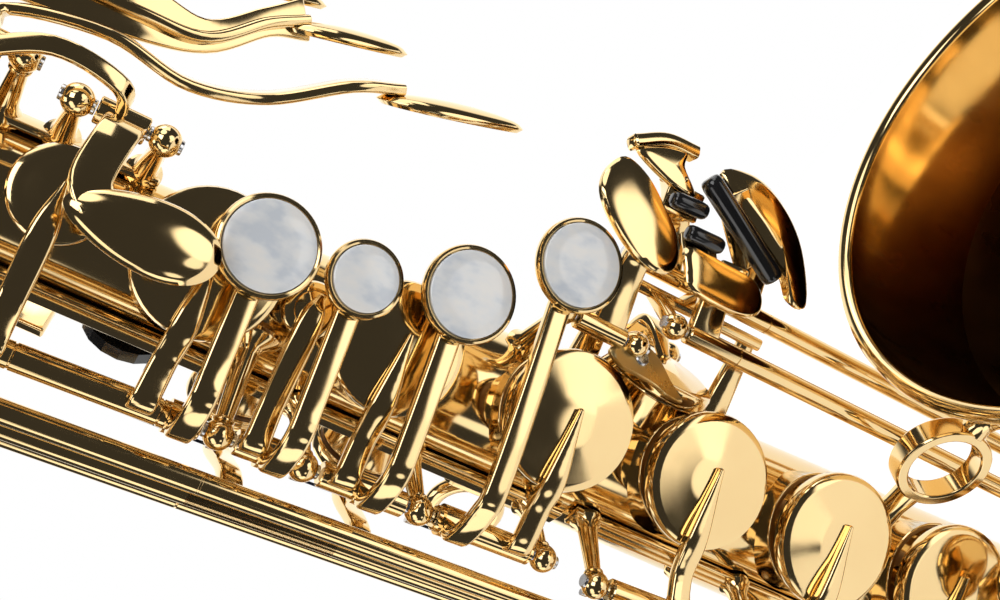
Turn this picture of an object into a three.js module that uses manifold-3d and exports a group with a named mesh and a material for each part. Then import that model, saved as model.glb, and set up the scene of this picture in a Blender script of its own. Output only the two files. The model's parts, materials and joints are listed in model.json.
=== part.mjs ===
// An alto saxophone as separate pieces: body, bow, bell, neck, mouthpiece and every key on its rod.
// Millimetres, +Z up the body tube, -Y towards the bell, +X the player's left.
import * as THREE from "three";
import { mergeVertices } from "three/addons/utils/BufferGeometryUtils.js";
import Module from "manifold-3d";

const wasm = await Module();
wasm.setup();

// ---- Driving dimensions ----
const BOW_RADIUS = 46; // centre line of the bow
const BOW_TUBE = { small: 26, large: 32.5 }; // outer tube radius at the body end and at the bell end
const BOW_Z = 78; // height of the body joint
const BOW_LEAD = 2; // straight stretch at each end of the bow
const BODY = { top: 600, taper: 0.0263, topRadius: 13, topRadiusZ: 590, wall: 1.2 };
const BELL = { tilt: 5.4, wall: 1.2, rimBead: 1.8 };
const BELL_PROFILE = [ // [distance up the bell, outer radius]
  [0, 32.5], [72, 35.5], [128, 39], [173, 43], [208, 47.5], [235, 52.5], [255, 57], [268, 60.2],
  [275, 61.5],
];
const ROD_RADIUS = 2.6; // hinge tubes of the keys
const BALL_RADIUS = 3; // post heads
const POST_PITCH = BALL_RADIUS + 0.4; // from the end of a hinge tube to the centre of its post head
const GAP = 0.35; // between pieces that rest on each other
// lip: how far a cup stands out past its chimney; closed: from the chimney rim to the pad face
const CUP = { thick: 4.6, chimney: 4, closed: 0.35, lip: 1.2, chimneyWall: 1.2 };
const POST = { foot: 2.6, neck: 1.7 }; // radii of a tapered post
const KEY_BAR = 2.4; // thickness of the bars that carry cups and touches
const TOUCH_PLATE = 2.6; // thickness of the little-finger plates
const OPEN_SWING = { stack: 6, lowB: 6.5, lowBb: 6, lowC: 7 }; // degrees that the open keys stand off
const PEARL = { thick: 1.5, holderWall: 1.25, holderDepth: 3.4, recess: 1.2 };
const STACK_AZIMUTH = 224; // direction that the stack cups and pearls face
const UPPER_ROD = [-27.8, 18.7]; // [across, out] of the upper stack rod, seen along the body
const LOWER_ROD = [-29.3, 22.2];
const STRAP_RING = { z: 405, radius: 8, wire: 2 };
const ROUND = 16; // sides of the big tubes
const BELL_SIDES = 20;
const SIDES = 6; // sides of rods and posts
const DISC_SIDES = 10; // sides of cups and pearls
const CHIMNEY_SIDES = 8;

// ---- Vectors ----
const V = (x, y, z) => new THREE.Vector3(x, y, z);
const rad = THREE.MathUtils.degToRad;
const polar = (rho, azimuth, z) => V(rho * Math.cos(rad(azimuth)), rho * Math.sin(rad(azimuth)), z);
const UP = V(0, 0, 1);
const bodyRadius = (z) => BODY.topRadius + (BODY.topRadiusZ - z) * BODY.taper;

// A frame looking out from the body at one azimuth: across (t), out (h) and z.
function facing(azimuth) {
  const out = polar(1, azimuth, 0);
  const across = polar(1, azimuth + 90, 0);
  const at = (t, h, z) => V(0, 0, z).addScaledVector(across, t).addScaledVector(out, h);
  return { out, across, at };
}
const stack = facing(STACK_AZIMUTH);

// ---- Solids ----
function solid(geometry) {
  const bare = geometry.index ? geometry.toNonIndexed() : geometry.clone();
  const points = new THREE.BufferGeometry().setAttribute("position", bare.getAttribute("position"));
  const merged = mergeVertices(points, 1e-4);
  return new wasm.Manifold(new wasm.Mesh({
    numProp: 3,
    vertProperties: merged.attributes.position.array,
    triVerts: new Uint32Array(merged.index.array),
  }));
}

const join = (parts) => parts.flat(Infinity).reduce((a, b) => a.add(b));
const cut = (part, tools) => tools.flat(Infinity).reduce((a, b) => a.subtract(b), part);

function geometryOf(manifold) {
  const mesh = manifold.getMesh();
  const positions = new Float32Array(mesh.numVert * 3);
  for (let i = 0; i < mesh.numVert; i++) {
    positions.set(mesh.vertProperties.subarray(i * mesh.numProp, i * mesh.numProp + 3), i * 3);
  }
  return new THREE.BufferGeometry()
    .setAttribute("position", new THREE.BufferAttribute(positions, 3))
    .setIndex(new THREE.BufferAttribute(mesh.triVerts, 1));
}

// Closed skin over a row of rings; each ring has the same number of points.
function loft(rings) {
  const n = rings[0].length;
  const points = rings.flat();
  const index = [];
  for (let i = 0; i + 1 < rings.length; i++) {
    for (let j = 0; j < n; j++) {
      const a = i * n + j;
      const b = i * n + ((j + 1) % n);
      index.push(a, b, b + n, a, b + n, a + n);
    }
  }
  const last = (rings.length - 1) * n;
  for (let j = 1; j + 1 < n; j++) index.push(0, j + 1, j, last, last + j, last + j + 1);
  const made = solid(new THREE.BufferGeometry().setFromPoints(points).setIndex(index));
  if (made.volume() > 0) return made;
  for (let i = 0; i < index.length; i += 3) [index[i], index[i + 1]] = [index[i + 1], index[i]];
  return solid(new THREE.BufferGeometry().setFromPoints(points).setIndex(index));
}

// The direction of a line of points at point i: midway between the stretches on its two sides.
function headingAt(points, i) {
  const heading = V(0, 0, 0);
  if (i > 0) heading.add(points[i].clone().sub(points[i - 1]).normalize());
  if (i + 1 < points.length) heading.add(points[i + 1].clone().sub(points[i]).normalize());
  return heading.normalize();
}

// Round tube section rings along a centre line.
function ringsAlong(centres, radii, sides, side = V(1, 0, 0)) {
  return centres.map((c, i) => {
    const along = headingAt(centres, i);
    const u = side.clone().addScaledVector(along, -side.dot(along)).normalize();
    const w = along.clone().cross(u);
    return Array.from({ length: sides }, (_, k) => {
      const a = (2 * Math.PI * k) / sides;
      const [x, y] = [radii[i] * Math.cos(a), radii[i] * Math.sin(a)];
      return c.clone().addScaledVector(u, x).addScaledVector(w, y);
    });
  });
}

// A turned shape on the axis from `base` in direction `axis`. The profile is [radius, height] points.
function turned(profile, base, axis, sides = 12) {
  const g = new THREE.LatheGeometry(profile.map(([r, h]) => new THREE.Vector2(r, h)), sides);
  g.applyQuaternion(new THREE.Quaternion().setFromUnitVectors(V(0, 1, 0), axis.clone().normalize()));
  g.translate(base.x, base.y, base.z);
  const made = solid(g);
  if (made.volume() > 0) return made;
  g.setIndex(Array.from(g.index.array).reverse());
  return solid(g);
}

function cylinder(a, b, radius, sides = SIDES, endRadius = radius) {
  const length = a.distanceTo(b);
  return turned([[0, 0], [radius, 0], [endRadius, length], [0, length]], a, b.clone().sub(a), sides);
}

function ball(centre, radius = BALL_RADIUS) {
  const g = new THREE.OctahedronGeometry(radius, 1);
  g.translate(centre.x, centre.y, centre.z);
  return solid(g);
}

// A flat bar along points. Its width lies along `across`; width and thickness may change point by point.
function strap(points, width, thick, across = UP) {
  const value = (v, i) => (Array.isArray(v) ? v[i] : v) / 2;
  return loft(points.map((p, i) => {
    const along = headingAt(points, i);
    const w = across.clone().addScaledVector(along, -across.dot(along)).normalize();
    const t = w.clone().cross(along);
    return [[1, 1], [-1, 1], [-1, -1], [1, -1]].map(([a, b]) =>
      p.clone().addScaledVector(w, a * value(width, i)).addScaledVector(t, b * value(thick, i)));
  }));
}

// A plate cut from an outline drawn in its own plane and lying around `centre`.
function plate(outline, thick, centre, xAxis, normal) {
  const shape = new THREE.Shape(outline.map(([x, y]) => new THREE.Vector2(x, y)));
  const g = new THREE.ExtrudeGeometry(shape, { depth: thick, bevelEnabled: false });
  const n = normal.clone().normalize();
  const x = xAxis.clone().addScaledVector(n, -xAxis.dot(n)).normalize();
  g.applyMatrix4(new THREE.Matrix4().makeBasis(x, n.clone().cross(x), n).setPosition(centre));
  return solid(g);
}

function oval(halfLength, halfWidth, count = 12) {
  return Array.from({ length: count }, (_, k) => {
    const a = (2 * Math.PI * k) / count;
    return [halfLength * Math.cos(a), halfWidth * Math.sin(a)];
  });
}

function roundedBox(halfX, halfY, r) {
  const corners = [[1, 1, 0], [-1, 1, 90], [-1, -1, 180], [1, -1, 270]];
  return corners.flatMap(([sx, sy, start]) => [0, 45, 90].map((step) => [
    sx * (halfX - r) + r * Math.cos(rad(start + step)),
    sy * (halfY - r) + r * Math.sin(rad(start + step)),
  ]));
}

// ---- Pieces shared by many keys ----
// A pad cup whose pad face lies at `base` and whose back points along `out`.
function cup(base, out, radius) {
  const t = CUP.thick;
  const profile = [[0, 0], [radius, 0], [radius, t - 1.2], [radius - 2, t - 0.2], [0, t]];
  return turned(profile, base, out, DISC_SIDES);
}

// The chimney under a cup: its wall, and the bore that is cut after the wall is joined to the tube.
function chimneyHole(base, out, cupRadius, height) {
  const outer = cupRadius - CUP.lip;
  const past = 5;
  const tube = (length, radius) =>
    cylinder(base, base.clone().addScaledVector(out, length), radius, CHIMNEY_SIDES);
  return { wall: tube(height, outer), bore: tube(height + past, outer - CUP.chimneyWall) };
}

function pearlHolder(top, out, pearlRadius) {
  const r = pearlRadius + PEARL.holderWall;
  const floor = PEARL.holderDepth - PEARL.recess;
  const inner = pearlRadius + 0.3;
  const profile = [
    [0, 0], [r - 1.5, 0], [r, 1.2], [r, PEARL.holderDepth], [inner, PEARL.holderDepth], [inner, floor],
    [0, floor],
  ];
  return turned(profile, top.clone().addScaledVector(out, -PEARL.holderDepth), out, DISC_SIDES);
}

function pearlDisc(top, out, pearlRadius) {
  const base = top.clone().addScaledVector(out, GAP - PEARL.recess);
  const profile = [
    [0, 0], [pearlRadius, 0], [pearlRadius, PEARL.thick - 0.3], [pearlRadius - 0.6, PEARL.thick],
    [0, PEARL.thick],
  ];
  return turned(profile, base, out, DISC_SIDES);
}

// A piece turned about an upright rod at [x, y].
const swung = (part, [x, y], degrees) =>
  part.translate([-x, -y, 0]).rotate([0, 0, degrees]).translate([x, y, 0]);

const hingeTube = (x, y, low, high) => cylinder(V(x, y, low), V(x, y, high), ROD_RADIUS);

// A tapered post with a ball head.
const post = (foot, head) => [cylinder(foot, head, POST.foot, SIDES, POST.neck), ball(head)];

// The body's outside, let out by a gap.
function bodySkin(gap) {
  const low = BOW_Z - 10;
  return turned([[0, low], [bodyRadius(low) + gap, low], [bodyRadius(BODY.top) + gap, BODY.top],
    [0, BODY.top]], V(0, 0, 0), UP, ROUND);
}

// A strip lying along the body at one azimuth with posts up to the given heads.
function ribWithPosts(azimuth, low, high, width, heads, lean = 0) {
  const side = polar(1, azimuth + 90, 0);
  const at = (z, height, s) =>
    polar(bodyRadius(z) + height, azimuth, z).addScaledVector(side, (s * width) / 2);
  const [under, over] = [-1, 2]; // the strip's faces, measured from the body; its underside is cut away
  const strip = loft([low, high].map((z) =>
    [at(z, under, -1), at(z, under, 1), at(z, over, 1), at(z, over, -1)]));
  const posts = heads.map((head) =>
    post(polar(bodyRadius(head.z) + 0.5, azimuth, head.z + lean), head));
  return cut(join([strip, posts]), [bodySkin(GAP)]);
}

// ---- Body, bow and bell ----
// Every tone hole on the body: [azimuth, height, cup radius].
const BODY_HOLES = {
  top_vent: [227, 517, 9], b: [225, 489, 14.3], bis: [224, 468.5, 5.6], a: [224, 449.5, 13.4],
  g: [225, 410, 14.8], f_sharp: [224, 374, 15], f: [222, 337, 15.5], e: [222, 300, 16], d: [222, 262, 16.5],
  g_sharp: [283, 384, 13], palm_d: [243, 541, 7.4], palm_eb: [243, 558, 7.2], palm_f: [243, 573, 6.6],
  high_e: [122, 564, 8], high_f_sharp: [102, 541, 7.6], side_c: [96, 468, 10], side_bb: [96, 437, 11],
  low_eb: [165, 125, 17],
};

function holeFrame(name) {
  const [azimuth, z, radius] = BODY_HOLES[name];
  const out = polar(1, azimuth, 0);
  const seat = bodyRadius(z) + CUP.chimney;
  return { azimuth, z, radius, out, seat, rim: polar(seat, azimuth, z) };
}

function bodyTube() {
  const wall = BODY.wall;
  const outer = [[0, BOW_Z + GAP], [bodyRadius(BOW_Z), BOW_Z + GAP], [bodyRadius(BODY.top), BODY.top],
    [0, BODY.top]];
  const inner = [[0, BOW_Z - 1], [bodyRadius(BOW_Z) - wall, BOW_Z - 1],
    [bodyRadius(BODY.top) - wall, BODY.top + 1], [0, BODY.top + 1]];
  const inside = 4; // where the chimneys start, measured from the body's axis
  const holes = Object.keys(BODY_HOLES).map((name) => {
    const h = holeFrame(name);
    return chimneyHole(polar(inside, h.azimuth, h.z), h.out, h.radius, h.seat - inside);
  });
  const posts = bodyPosts().map(([head, azimuth]) =>
    post(polar(bodyRadius(head.z) - 1, azimuth, head.z), head));
  const skin = join([turned(outer, V(0, 0, 0), UP, ROUND), holes.map((h) => h.wall), posts]);
  return cut(skin, [turned(inner, V(0, 0, 0), UP, ROUND), holes.map((h) => h.bore)]);
}

// The bow's centre line: a short straight lead, an arc that stops at the bell's tilt, and another lead.
const BOW_END = Math.PI - rad(BELL.tilt);
const bellAxis = V(0, -Math.sin(rad(BELL.tilt)), Math.cos(rad(BELL.tilt)));
function bowPoint(t) {
  return V(0, BOW_RADIUS * (Math.cos(t) - 1), BOW_Z - BOW_LEAD - BOW_RADIUS * Math.sin(t));
}
const bowMouth = bowPoint(BOW_END).addScaledVector(bellAxis, BOW_LEAD);
const LOW_C = { z: 26, radius: 19, bowRadius: 29.6 };
// Tone holes on the bell: azimuth about the bell's own axis, distance up the bell, cup radius.
const BELL_HOLES = {
  low_c_sharp: { azimuth: 21, s: 34, radius: 16.5 },
  low_b: { azimuth: 140, s: 92, radius: 20 },
  low_bb: { azimuth: 140, s: 140, radius: 21.5 },
};

function bowTube() {
  const steps = 9;
  const angles = Array.from({ length: steps + 1 }, (_, i) => (BOW_END * i) / steps);
  const radii = angles.map((a) => THREE.MathUtils.lerp(BOW_TUBE.small, BOW_TUBE.large, a / BOW_END));
  const ends = (lead) =>
    [V(0, 0, BOW_Z + lead), bowPoint(BOW_END).addScaledVector(bellAxis, BOW_LEAD + lead)];
  const skinOf = (lead, wall) => {
    const [start, finish] = ends(lead);
    const sizes = [radii[0], ...radii, radii[steps]].map((r) => r - wall);
    return loft(ringsAlong([start, ...angles.map(bowPoint), finish], sizes, ROUND));
  };
  const inside = 10;
  const hole = chimneyHole(V(-inside, -BOW_RADIUS, LOW_C.z), V(-1, 0, 0), LOW_C.radius,
    lowCSeat() - inside);
  const [x, y] = PINKY_ROD;
  const foot = post(V(-22, -15, 44), V(x, y, LOW_C_TUBE[0] - POST_PITCH));
  return cut(join([skinOf(0, 0), hole.wall, foot]), [skinOf(2, BODY.wall), hole.bore]);
}
const lowCSeat = () => LOW_C.bowRadius + CUP.chimney;

const bellBase = bowMouth.clone().addScaledVector(bellAxis, GAP);
const bellPoint = (s) => bellBase.clone().addScaledVector(bellAxis, s);
function bellRadius(s) {
  const i = Math.max(1, BELL_PROFILE.findIndex(([d]) => d >= s));
  const [[d0, r0], [d1, r1]] = [BELL_PROFILE[i - 1], BELL_PROFILE[i]];
  return r0 + ((r1 - r0) * (s - d0)) / (d1 - d0);
}
function bellHole(name) {
  const { azimuth, s, radius } = BELL_HOLES[name];
  const out = polar(1, azimuth, 0);
  const seat = bellRadius(s) + CUP.chimney;
  const at = (height, aside = 0, up = 0) => bellPoint(s + up).addScaledVector(out, height)
    .addScaledVector(polar(1, azimuth + 90, 0), aside);
  return { s, radius, out, seat, at };
}

function bell() {
  const end = BELL_PROFILE.at(-1);
  const outer = [[0, 0], ...BELL_PROFILE.map(([s, r]) => [r, s]), [0, end[0]]];
  const past = 3; // how far the hollow is cut past both ends
  const inner = [[0, -past], [BELL_PROFILE[0][1] - BELL.wall, -past],
    ...BELL_PROFILE.map(([s, r]) => [r - BELL.wall, s]),
    [end[1] - BELL.wall + 1, end[0] + past], [0, end[0] + past]];
  const bead = BELL.rimBead;
  const middle = end[1] - 0.4; // the rolled rim's own centre line
  const rim = [[middle, end[0] - 2 * bead], [middle + bead, end[0] - bead], [middle, end[0]],
    [middle - bead + 0.2, end[0] - bead], [middle, end[0] - 2 * bead]];
  const inside = 8; // where the chimneys start, measured from the bell's axis
  const holes = Object.keys(BELL_HOLES).map((name) => {
    const h = bellHole(name);
    return chimneyHole(h.at(inside), h.out, h.radius, h.seat - inside);
  });
  const skin = join([turned(outer, bellBase, bellAxis, BELL_SIDES), holes.map((h) => h.wall)]);
  const shell = cut(skin, [turned(inner, bellBase, bellAxis, BELL_SIDES), holes.map((h) => h.bore)]);
  return join([shell, turned(rim, bellBase, bellAxis, BELL_SIDES)]);
}

// A ring clamped round a tube joint.
const FERRULE = { height: 14, wall: 2.4, below: 4 }; // below: from the joint down to its lower edge
function ferrule(centre, axis, radius) {
  const { height, wall } = FERRULE;
  const inner = radius + GAP;
  const outer = radius + wall;
  const profile = [[inner, 0], [outer - 0.8, 0], [outer, 1], [outer, height - 1], [outer - 0.8, height],
    [inner, height], [inner, 0]];
  return turned(profile, centre, axis, ROUND);
}

// The ring that braces the bell against the body, with a tapered arm on each side.
const BRACE = { x: -10, y: -43, z: 320, outer: 11.2, inner: 8.4, half: 3, armFoot: 4.5, armTip: 2.5 };
function bellBrace() {
  const ring = BRACE;
  const z = ring.z;
  const centre = V(ring.x - ring.half, ring.y, z);
  const profile = [[ring.inner, 0], [ring.outer, 0], [ring.outer, 2 * ring.half],
    [ring.inner, 2 * ring.half], [ring.inner, 0]];
  const s = (z - bellBase.z) / bellAxis.z;
  const reach = 25; // of the bell's outside that the arm is fitted to, up and down
  const skinAt = (d) => [bellRadius(d) + GAP, d];
  const bellSkin = turned([[0, s - reach], skinAt(s - reach), skinAt(s), skinAt(s + reach),
    [0, s + reach]], bellBase, bellAxis, BELL_SIDES);
  const bodyEnd = V(ring.x, -bodyRadius(z) + 6, z);
  const bellEnd = V(ring.x, bellPoint(s).y + bellRadius(s) - 4, z);
  const arm = (from, to) => cylinder(from, to, ring.armFoot, SIDES, ring.armTip);
  return cut(join([
    turned(profile, centre, V(1, 0, 0), 16),
    arm(bodyEnd, V(ring.x, ring.y + ring.inner + 1, z)),
    arm(bellEnd, V(ring.x, ring.y - ring.inner - 1, z)),
  ]), [bodySkin(GAP), bellSkin]);
}

// ---- Neck, receiver and mouthpiece ----
const NECK_LINE = new THREE.CatmullRomCurve3([
  V(0, 0, 606), V(0, 0.5, 626), V(0, 7, 650), V(0, 24, 668), V(0, 50, 678), V(0, 84, 680), V(0, 118, 675),
  V(0, 150, 666),
]);
const NECK_SIDES = 12;
const NECK_STEPS = 12;
const NECK_RADIUS = { start: 12.2, end: 7 };
const CORK = { from: 0.8, radius: 8.2 };
const RECEIVER = { low: 584, high: 608, wall: 3 };

function neckRings(from, to, steps, radiusAt) {
  const ts = Array.from({ length: steps + 1 }, (_, i) => from + ((to - from) * i) / steps);
  return ringsAlong(ts.map((t) => NECK_LINE.getPointAt(t)), ts.map(radiusAt), NECK_SIDES);
}
const neckRadius = (t) => THREE.MathUtils.lerp(NECK_RADIUS.start, NECK_RADIUS.end, Math.min(t / 0.85, 1));

function neckTube() {
  const tenon = [[0, 601.5], [11, 601.5], [11, 606.5], [0, 606.5]]; // drops into the receiver
  const collar = [[0, 609], [15.2, 609], [15.2, 613], [12, 614], [0, 614]];
  const wall = 1.2;
  const bore = loft([
    ringsAlong([V(0, 0, 598), V(0, 0, 606)], [9.6, 9.6], NECK_SIDES),
    neckRings(0.02, 0.98, NECK_STEPS, (t) => neckRadius(t) - wall),
    ringsAlong([V(0, 149, 666.3), V(0, 156, 664.3)], [5.8, 5.8], NECK_SIDES)].flat());
  const pipFoot = NECK_LINE.getPointAt(OCTAVE_PIP.t);
  const octavePip = cylinder(pipFoot, pipFoot.clone().add(V(0, 0, OCTAVE_PIP.height)), 2.6, 8);
  const skin = join([turned(tenon, V(0, 0, 0), UP, NECK_SIDES), turned(collar, V(0, 0, 0), UP, 16),
    loft(neckRings(0, 1, NECK_STEPS, neckRadius)), octavePip, neckSaddle()]);
  return cut(skin, [bore]);
}

function neckCork() {
  const outer = loft(neckRings(CORK.from, 0.985, 3, () => CORK.radius));
  const inner = loft(neckRings(CORK.from - 0.03, 1, 4, (t) => neckRadius(t) + GAP));
  return cut(outer, [inner]);
}

const MOUTH = { length: 88, shank: 12.4, sleeve: 28 };
const mouthStart = NECK_LINE.getPointAt(0.9);
const mouthAxis = NECK_LINE.getTangentAt(0.95).normalize();
const mouthAcross = V(1, 0, 0);
const mouthDown = mouthAxis.clone().cross(mouthAcross).normalize();
const mouthUp = mouthDown.z > 0 ? mouthDown : mouthDown.clone().negate();
const mouthPoint = (along, up) =>
  mouthStart.clone().addScaledVector(mouthAxis, along).addScaledVector(mouthUp, up);

function mouthpiece() {
  const sleeve = cylinder(mouthPoint(0, 0), mouthPoint(52, 0), MOUTH.shank, 16, 11.2);
  const ring = cylinder(mouthPoint(0.5, 0), mouthPoint(6, 0), MOUTH.shank + 1.1, 16);
  const section = (s, half, top, bottom) => [
    [-half, bottom], [half, bottom], [half, top * 0.5], [half * 0.5, top], [-half * 0.5, top],
    [-half, top * 0.5],
  ].map(([x, u]) => mouthPoint(s, u).addScaledVector(mouthAcross, x));
  const beak = loft([section(40, 10, 9, -8.4), section(56, 9.4, 8, -8.4), section(86, 7.6, -6, -7.8),
    section(MOUTH.length, 7, -6.8, -7.8)]);
  const bore = cylinder(mouthPoint(-1, 0), mouthPoint(MOUTH.sleeve, 0), CORK.radius + 0.9, 12);
  const chamber = cylinder(mouthPoint(MOUTH.sleeve - 1, 0), mouthPoint(62, -2.5), 6.4, 8, 4);
  const tipWindow = strap([mouthPoint(56, -6), mouthPoint(80, -7)], 9, 9, mouthAcross);
  const underTable = strap([mouthPoint(30, -18.8), mouthPoint(95, -18.8)], 40, 20, mouthAcross);
  return cut(join([sleeve, ring, beak]), [bore, chamber, tipWindow, underTable]);
}

function reed() {
  const flat = -9.2; // height of the reed's flat side
  const section = (s, thick, half) =>
    [[-half, flat], [half, flat], [half, flat - thick], [-half, flat - thick]]
      .map(([x, u]) => mouthPoint(s, u).addScaledVector(mouthAcross, x));
  return loft([section(31, 2.6, 5.4), section(62, 2.6, 5.8), section(87, 0.5, 6.4)]);
}

function ligature() {
  const low = mouthPoint(33, -1);
  const high = mouthPoint(53, -1);
  const outer = cylinder(low, high, 15.6, 16, 15);
  const screws = [38, 48].map((s) => cylinder(mouthPoint(s, -14).addScaledVector(mouthAcross, -5),
    mouthPoint(s, -14).addScaledVector(mouthAcross, 16), 1.8));
  const lug = strap([mouthPoint(34, -15.5), mouthPoint(52, -15.5)], 8, 5, mouthAcross);
  const inner = cylinder(mouthPoint(30, -1), mouthPoint(56, -1), 14.2, 16, 13.4);
  return cut(join([outer, lug, screws]), [inner]);
}

const RECEIVER_SCREW = { x: 7, y: 20.5, z: 598 };
function neckReceiver() {
  const inner = bodyRadius(RECEIVER.low) + 0.45;
  const outer = inner + RECEIVER.wall;
  const { low, high } = RECEIVER;
  const profile = [[inner, low], [outer, low], [outer, high], [inner, high], [inner, low]];
  const { y, z } = RECEIVER_SCREW;
  const lug = strap([V(0, 14, z), V(0, 24, z)], 12, 12, UP);
  const slot = strap([V(0, 10, z + 2), V(0, 30, z + 2)], 30, 2, UP);
  const bore = cylinder(V(0, 0, low - 4), V(0, 0, high + 4), inner, ROUND);
  const screwHole = cylinder(V(-12, y, z), V(12, y, z), 2.4);
  return cut(join([turned(profile, V(0, 0, 0), UP, ROUND), lug]), [slot, bore, screwHole]);
}

function receiverScrew() {
  const { x, y, z } = RECEIVER_SCREW;
  return join([
    cylinder(V(8, y, z), V(-x, y, z), 2),
    cylinder(V(-x + 0.4, y, z), V(-x - 4, y, z), 3.2),
    strap([V(-x - 3.5, y, z), V(-x - 15, y, z)], 11, 2.4, UP),
  ]);
}

// ---- Fittings on the back of the body ----
function strapRing() {
  const surface = bodyRadius(STRAP_RING.z) + GAP;
  const y = surface + 3 + STRAP_RING.radius;
  const { radius, wire } = STRAP_RING;
  const profile = [[-1, -1], [1, -1], [1, 1], [-1, 1], [-1, -1]].map(([side, height]) =>
    [radius + side * wire, height * wire]);
  return join([
    turned(profile, V(0, y, STRAP_RING.z), V(1, 0, 0), 16),
    strap([V(0, surface, STRAP_RING.z), V(0, surface + 2.5, STRAP_RING.z)], 22, 9, UP),
    strap([V(0, surface + 1, STRAP_RING.z), V(0, y - radius + 0.5, STRAP_RING.z)], 8, 4, UP),
  ]);
}

function thumbHook() {
  const z = 196;
  const surface = bodyRadius(z - 20) + GAP;
  const line = [V(0, surface + 2, z + 14), V(0, surface + 12, z + 16), V(0, surface + 22, z + 10),
    V(0, surface + 26, z - 2), V(0, surface + 24, z - 12)];
  return join([
    strap([V(0, surface, z + 2), V(0, surface + 3, z + 2)], 40, 13, UP),
    strap(line, 15, 3, V(1, 0, 0)),
  ]);
}

function thumbRest() {
  const z = 494;
  const surface = bodyRadius(z) + GAP;
  return turned([[0, 0], [9, 0], [9, 2.6], [7, 4], [0, 4.4]], V(0, surface, z), V(0, 1, 0), 16);
}

// ---- Key guards ----
const GUARD_CLEAR = 16.5; // from a chimney rim to the guard that covers the open cup
function bellKeyGuard() {
  const [low, high] = [bellHole("low_b"), bellHole("low_bb")];
  const face = high.seat + GUARD_CLEAR;
  const ends = [low.s - 30, (low.s + high.s) / 2 - 1, high.s + 30];
  const at = (s, height) => low.at(height, 0, s - low.s);
  const bar = strap([at(ends[0] - 2, face), at(ends[2] + 2, face)], 12, 3, polar(1, 230, 0));
  return join([bar, ends.map((s) => cylinder(at(s, bellRadius(s) + 0.9), at(s, face), 2.2))]);
}

function lowCGuard() {
  const face = -(lowCSeat() + GUARD_CLEAR + 3);
  // [y from the cup's centre, z, outside of the bow there]
  const feet = [[-24, 38, 30.4], [20, 58, 21.6]];
  const bar = strap([V(face, feet[0][0] - BOW_RADIUS, feet[0][1]), V(face, -BOW_RADIUS, LOW_C.z),
    V(face, feet[1][0] - BOW_RADIUS, feet[1][1])], 3, 10, V(1, 0, 0));
  const legs = feet.map(([dy, z, surface]) =>
    cylinder(V(-surface - GAP, dy - BOW_RADIUS, z), V(face, dy - BOW_RADIUS, z), 2.2));
  return join([bar, legs]);
}

// ---- Upper and lower stack keys ----
// Each stack key: a tube on the rod, an arm to its cup and an arm to its pearl.
const stackAt = stack.at;

function cupArm([t, out], tubeZ, hole) {
  const h = holeFrame(hole);
  const top = h.seat + CUP.closed + CUP.thick + 0.6;
  return strap([stackAt(t, out, tubeZ), stackAt(t + 1, out + 5, tubeZ),
    stackAt(t + 9, top - 2, (tubeZ + h.z) / 2), stackAt(-h.radius + 3, top, h.z), stackAt(1, top, h.z)],
  [5, 5, 5, 5.4, 3], KEY_BAR);
}

function closedCup(hole) {
  const h = holeFrame(hole);
  return cup(polar(h.seat + CUP.closed, h.azimuth, h.z), h.out, h.radius);
}

function pearlArm(rod, z, pearl) {
  const [t, out] = rod;
  const [across, height] = pearl;
  const under = height - PEARL.holderDepth - 0.6;
  return strap([stackAt(t + 0.5, out, z), stackAt(t - 2.6, out + 5, z),
    stackAt(t + 3, Math.min(under, out + 13), z), stackAt(t + 12, under, z), stackAt(across, under, z)],
  4.6, KEY_BAR);
}

// name: [rod, tube low, tube high, holes with the height of their arm on the tube, pearl],
// where pearl is [across, out, z, radius]
const STACK_KEYS = {
  b_key: [UPPER_ROD, 478, 539.4, { b: 490, top_vent: 517 }, [5.1, 36, 482, 8.5]],
  bis_key: [UPPER_ROD, 460.6, 471, { bis: 468.5 }, [6.8, 36.5, 463.6, 6.3]],
  a_key: [UPPER_ROD, 435, 453.4, { a: 449.8 }, [12.5, 37, 443.4, 8.5]],
  g_key: [UPPER_ROD, 405, 428, { g: 410 }, [27.2, 38.5, 424, 8.5]],
  f_sharp_key: [LOWER_ROD, 350.4, 386, { f_sharp: 372 }, null],
  f_key: [LOWER_ROD, 287.8, 343, { f: 337 }, [4, 45, 291, 8.5]],
  e_key: [LOWER_ROD, 262, 280.2, { e: 277.4 }, [4, 46, 267, 8.5]],
  d_key: [LOWER_ROD, 238, 254.8, { d: 252.5 }, [4, 47, 243, 8.5]],
};

function stackKey([rod, low, high, holes, pearl]) {
  const axis = stackAt(rod[0], rod[1], 0);
  const parts = [hingeTube(axis.x, axis.y, low, high)];
  for (const [hole, z] of Object.entries(holes)) {
    parts.push(swung(join([closedCup(hole), cupArm(rod, z, hole)]), [axis.x, axis.y], -OPEN_SWING.stack));
  }
  if (pearl) {
    const [t, out, z, radius] = pearl;
    parts.push(pearlArm(rod, z, [t, out]), pearlHolder(stackAt(t, out, z), stack.out, radius));
  }
  return join(parts);
}

const stackPearl = ([, , , , [t, out, z, radius]]) => pearlDisc(stackAt(t, out, z), stack.out, radius);

const STACK_RIB_WIDTH = 5.4;
function stackRib(azimuth, [across, out], low, high, heights, lean) {
  const heads = heights.map((z) => stackAt(across, out, z));
  return ribWithPosts(azimuth, low, high, STACK_RIB_WIDTH, heads, lean);
}

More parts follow.
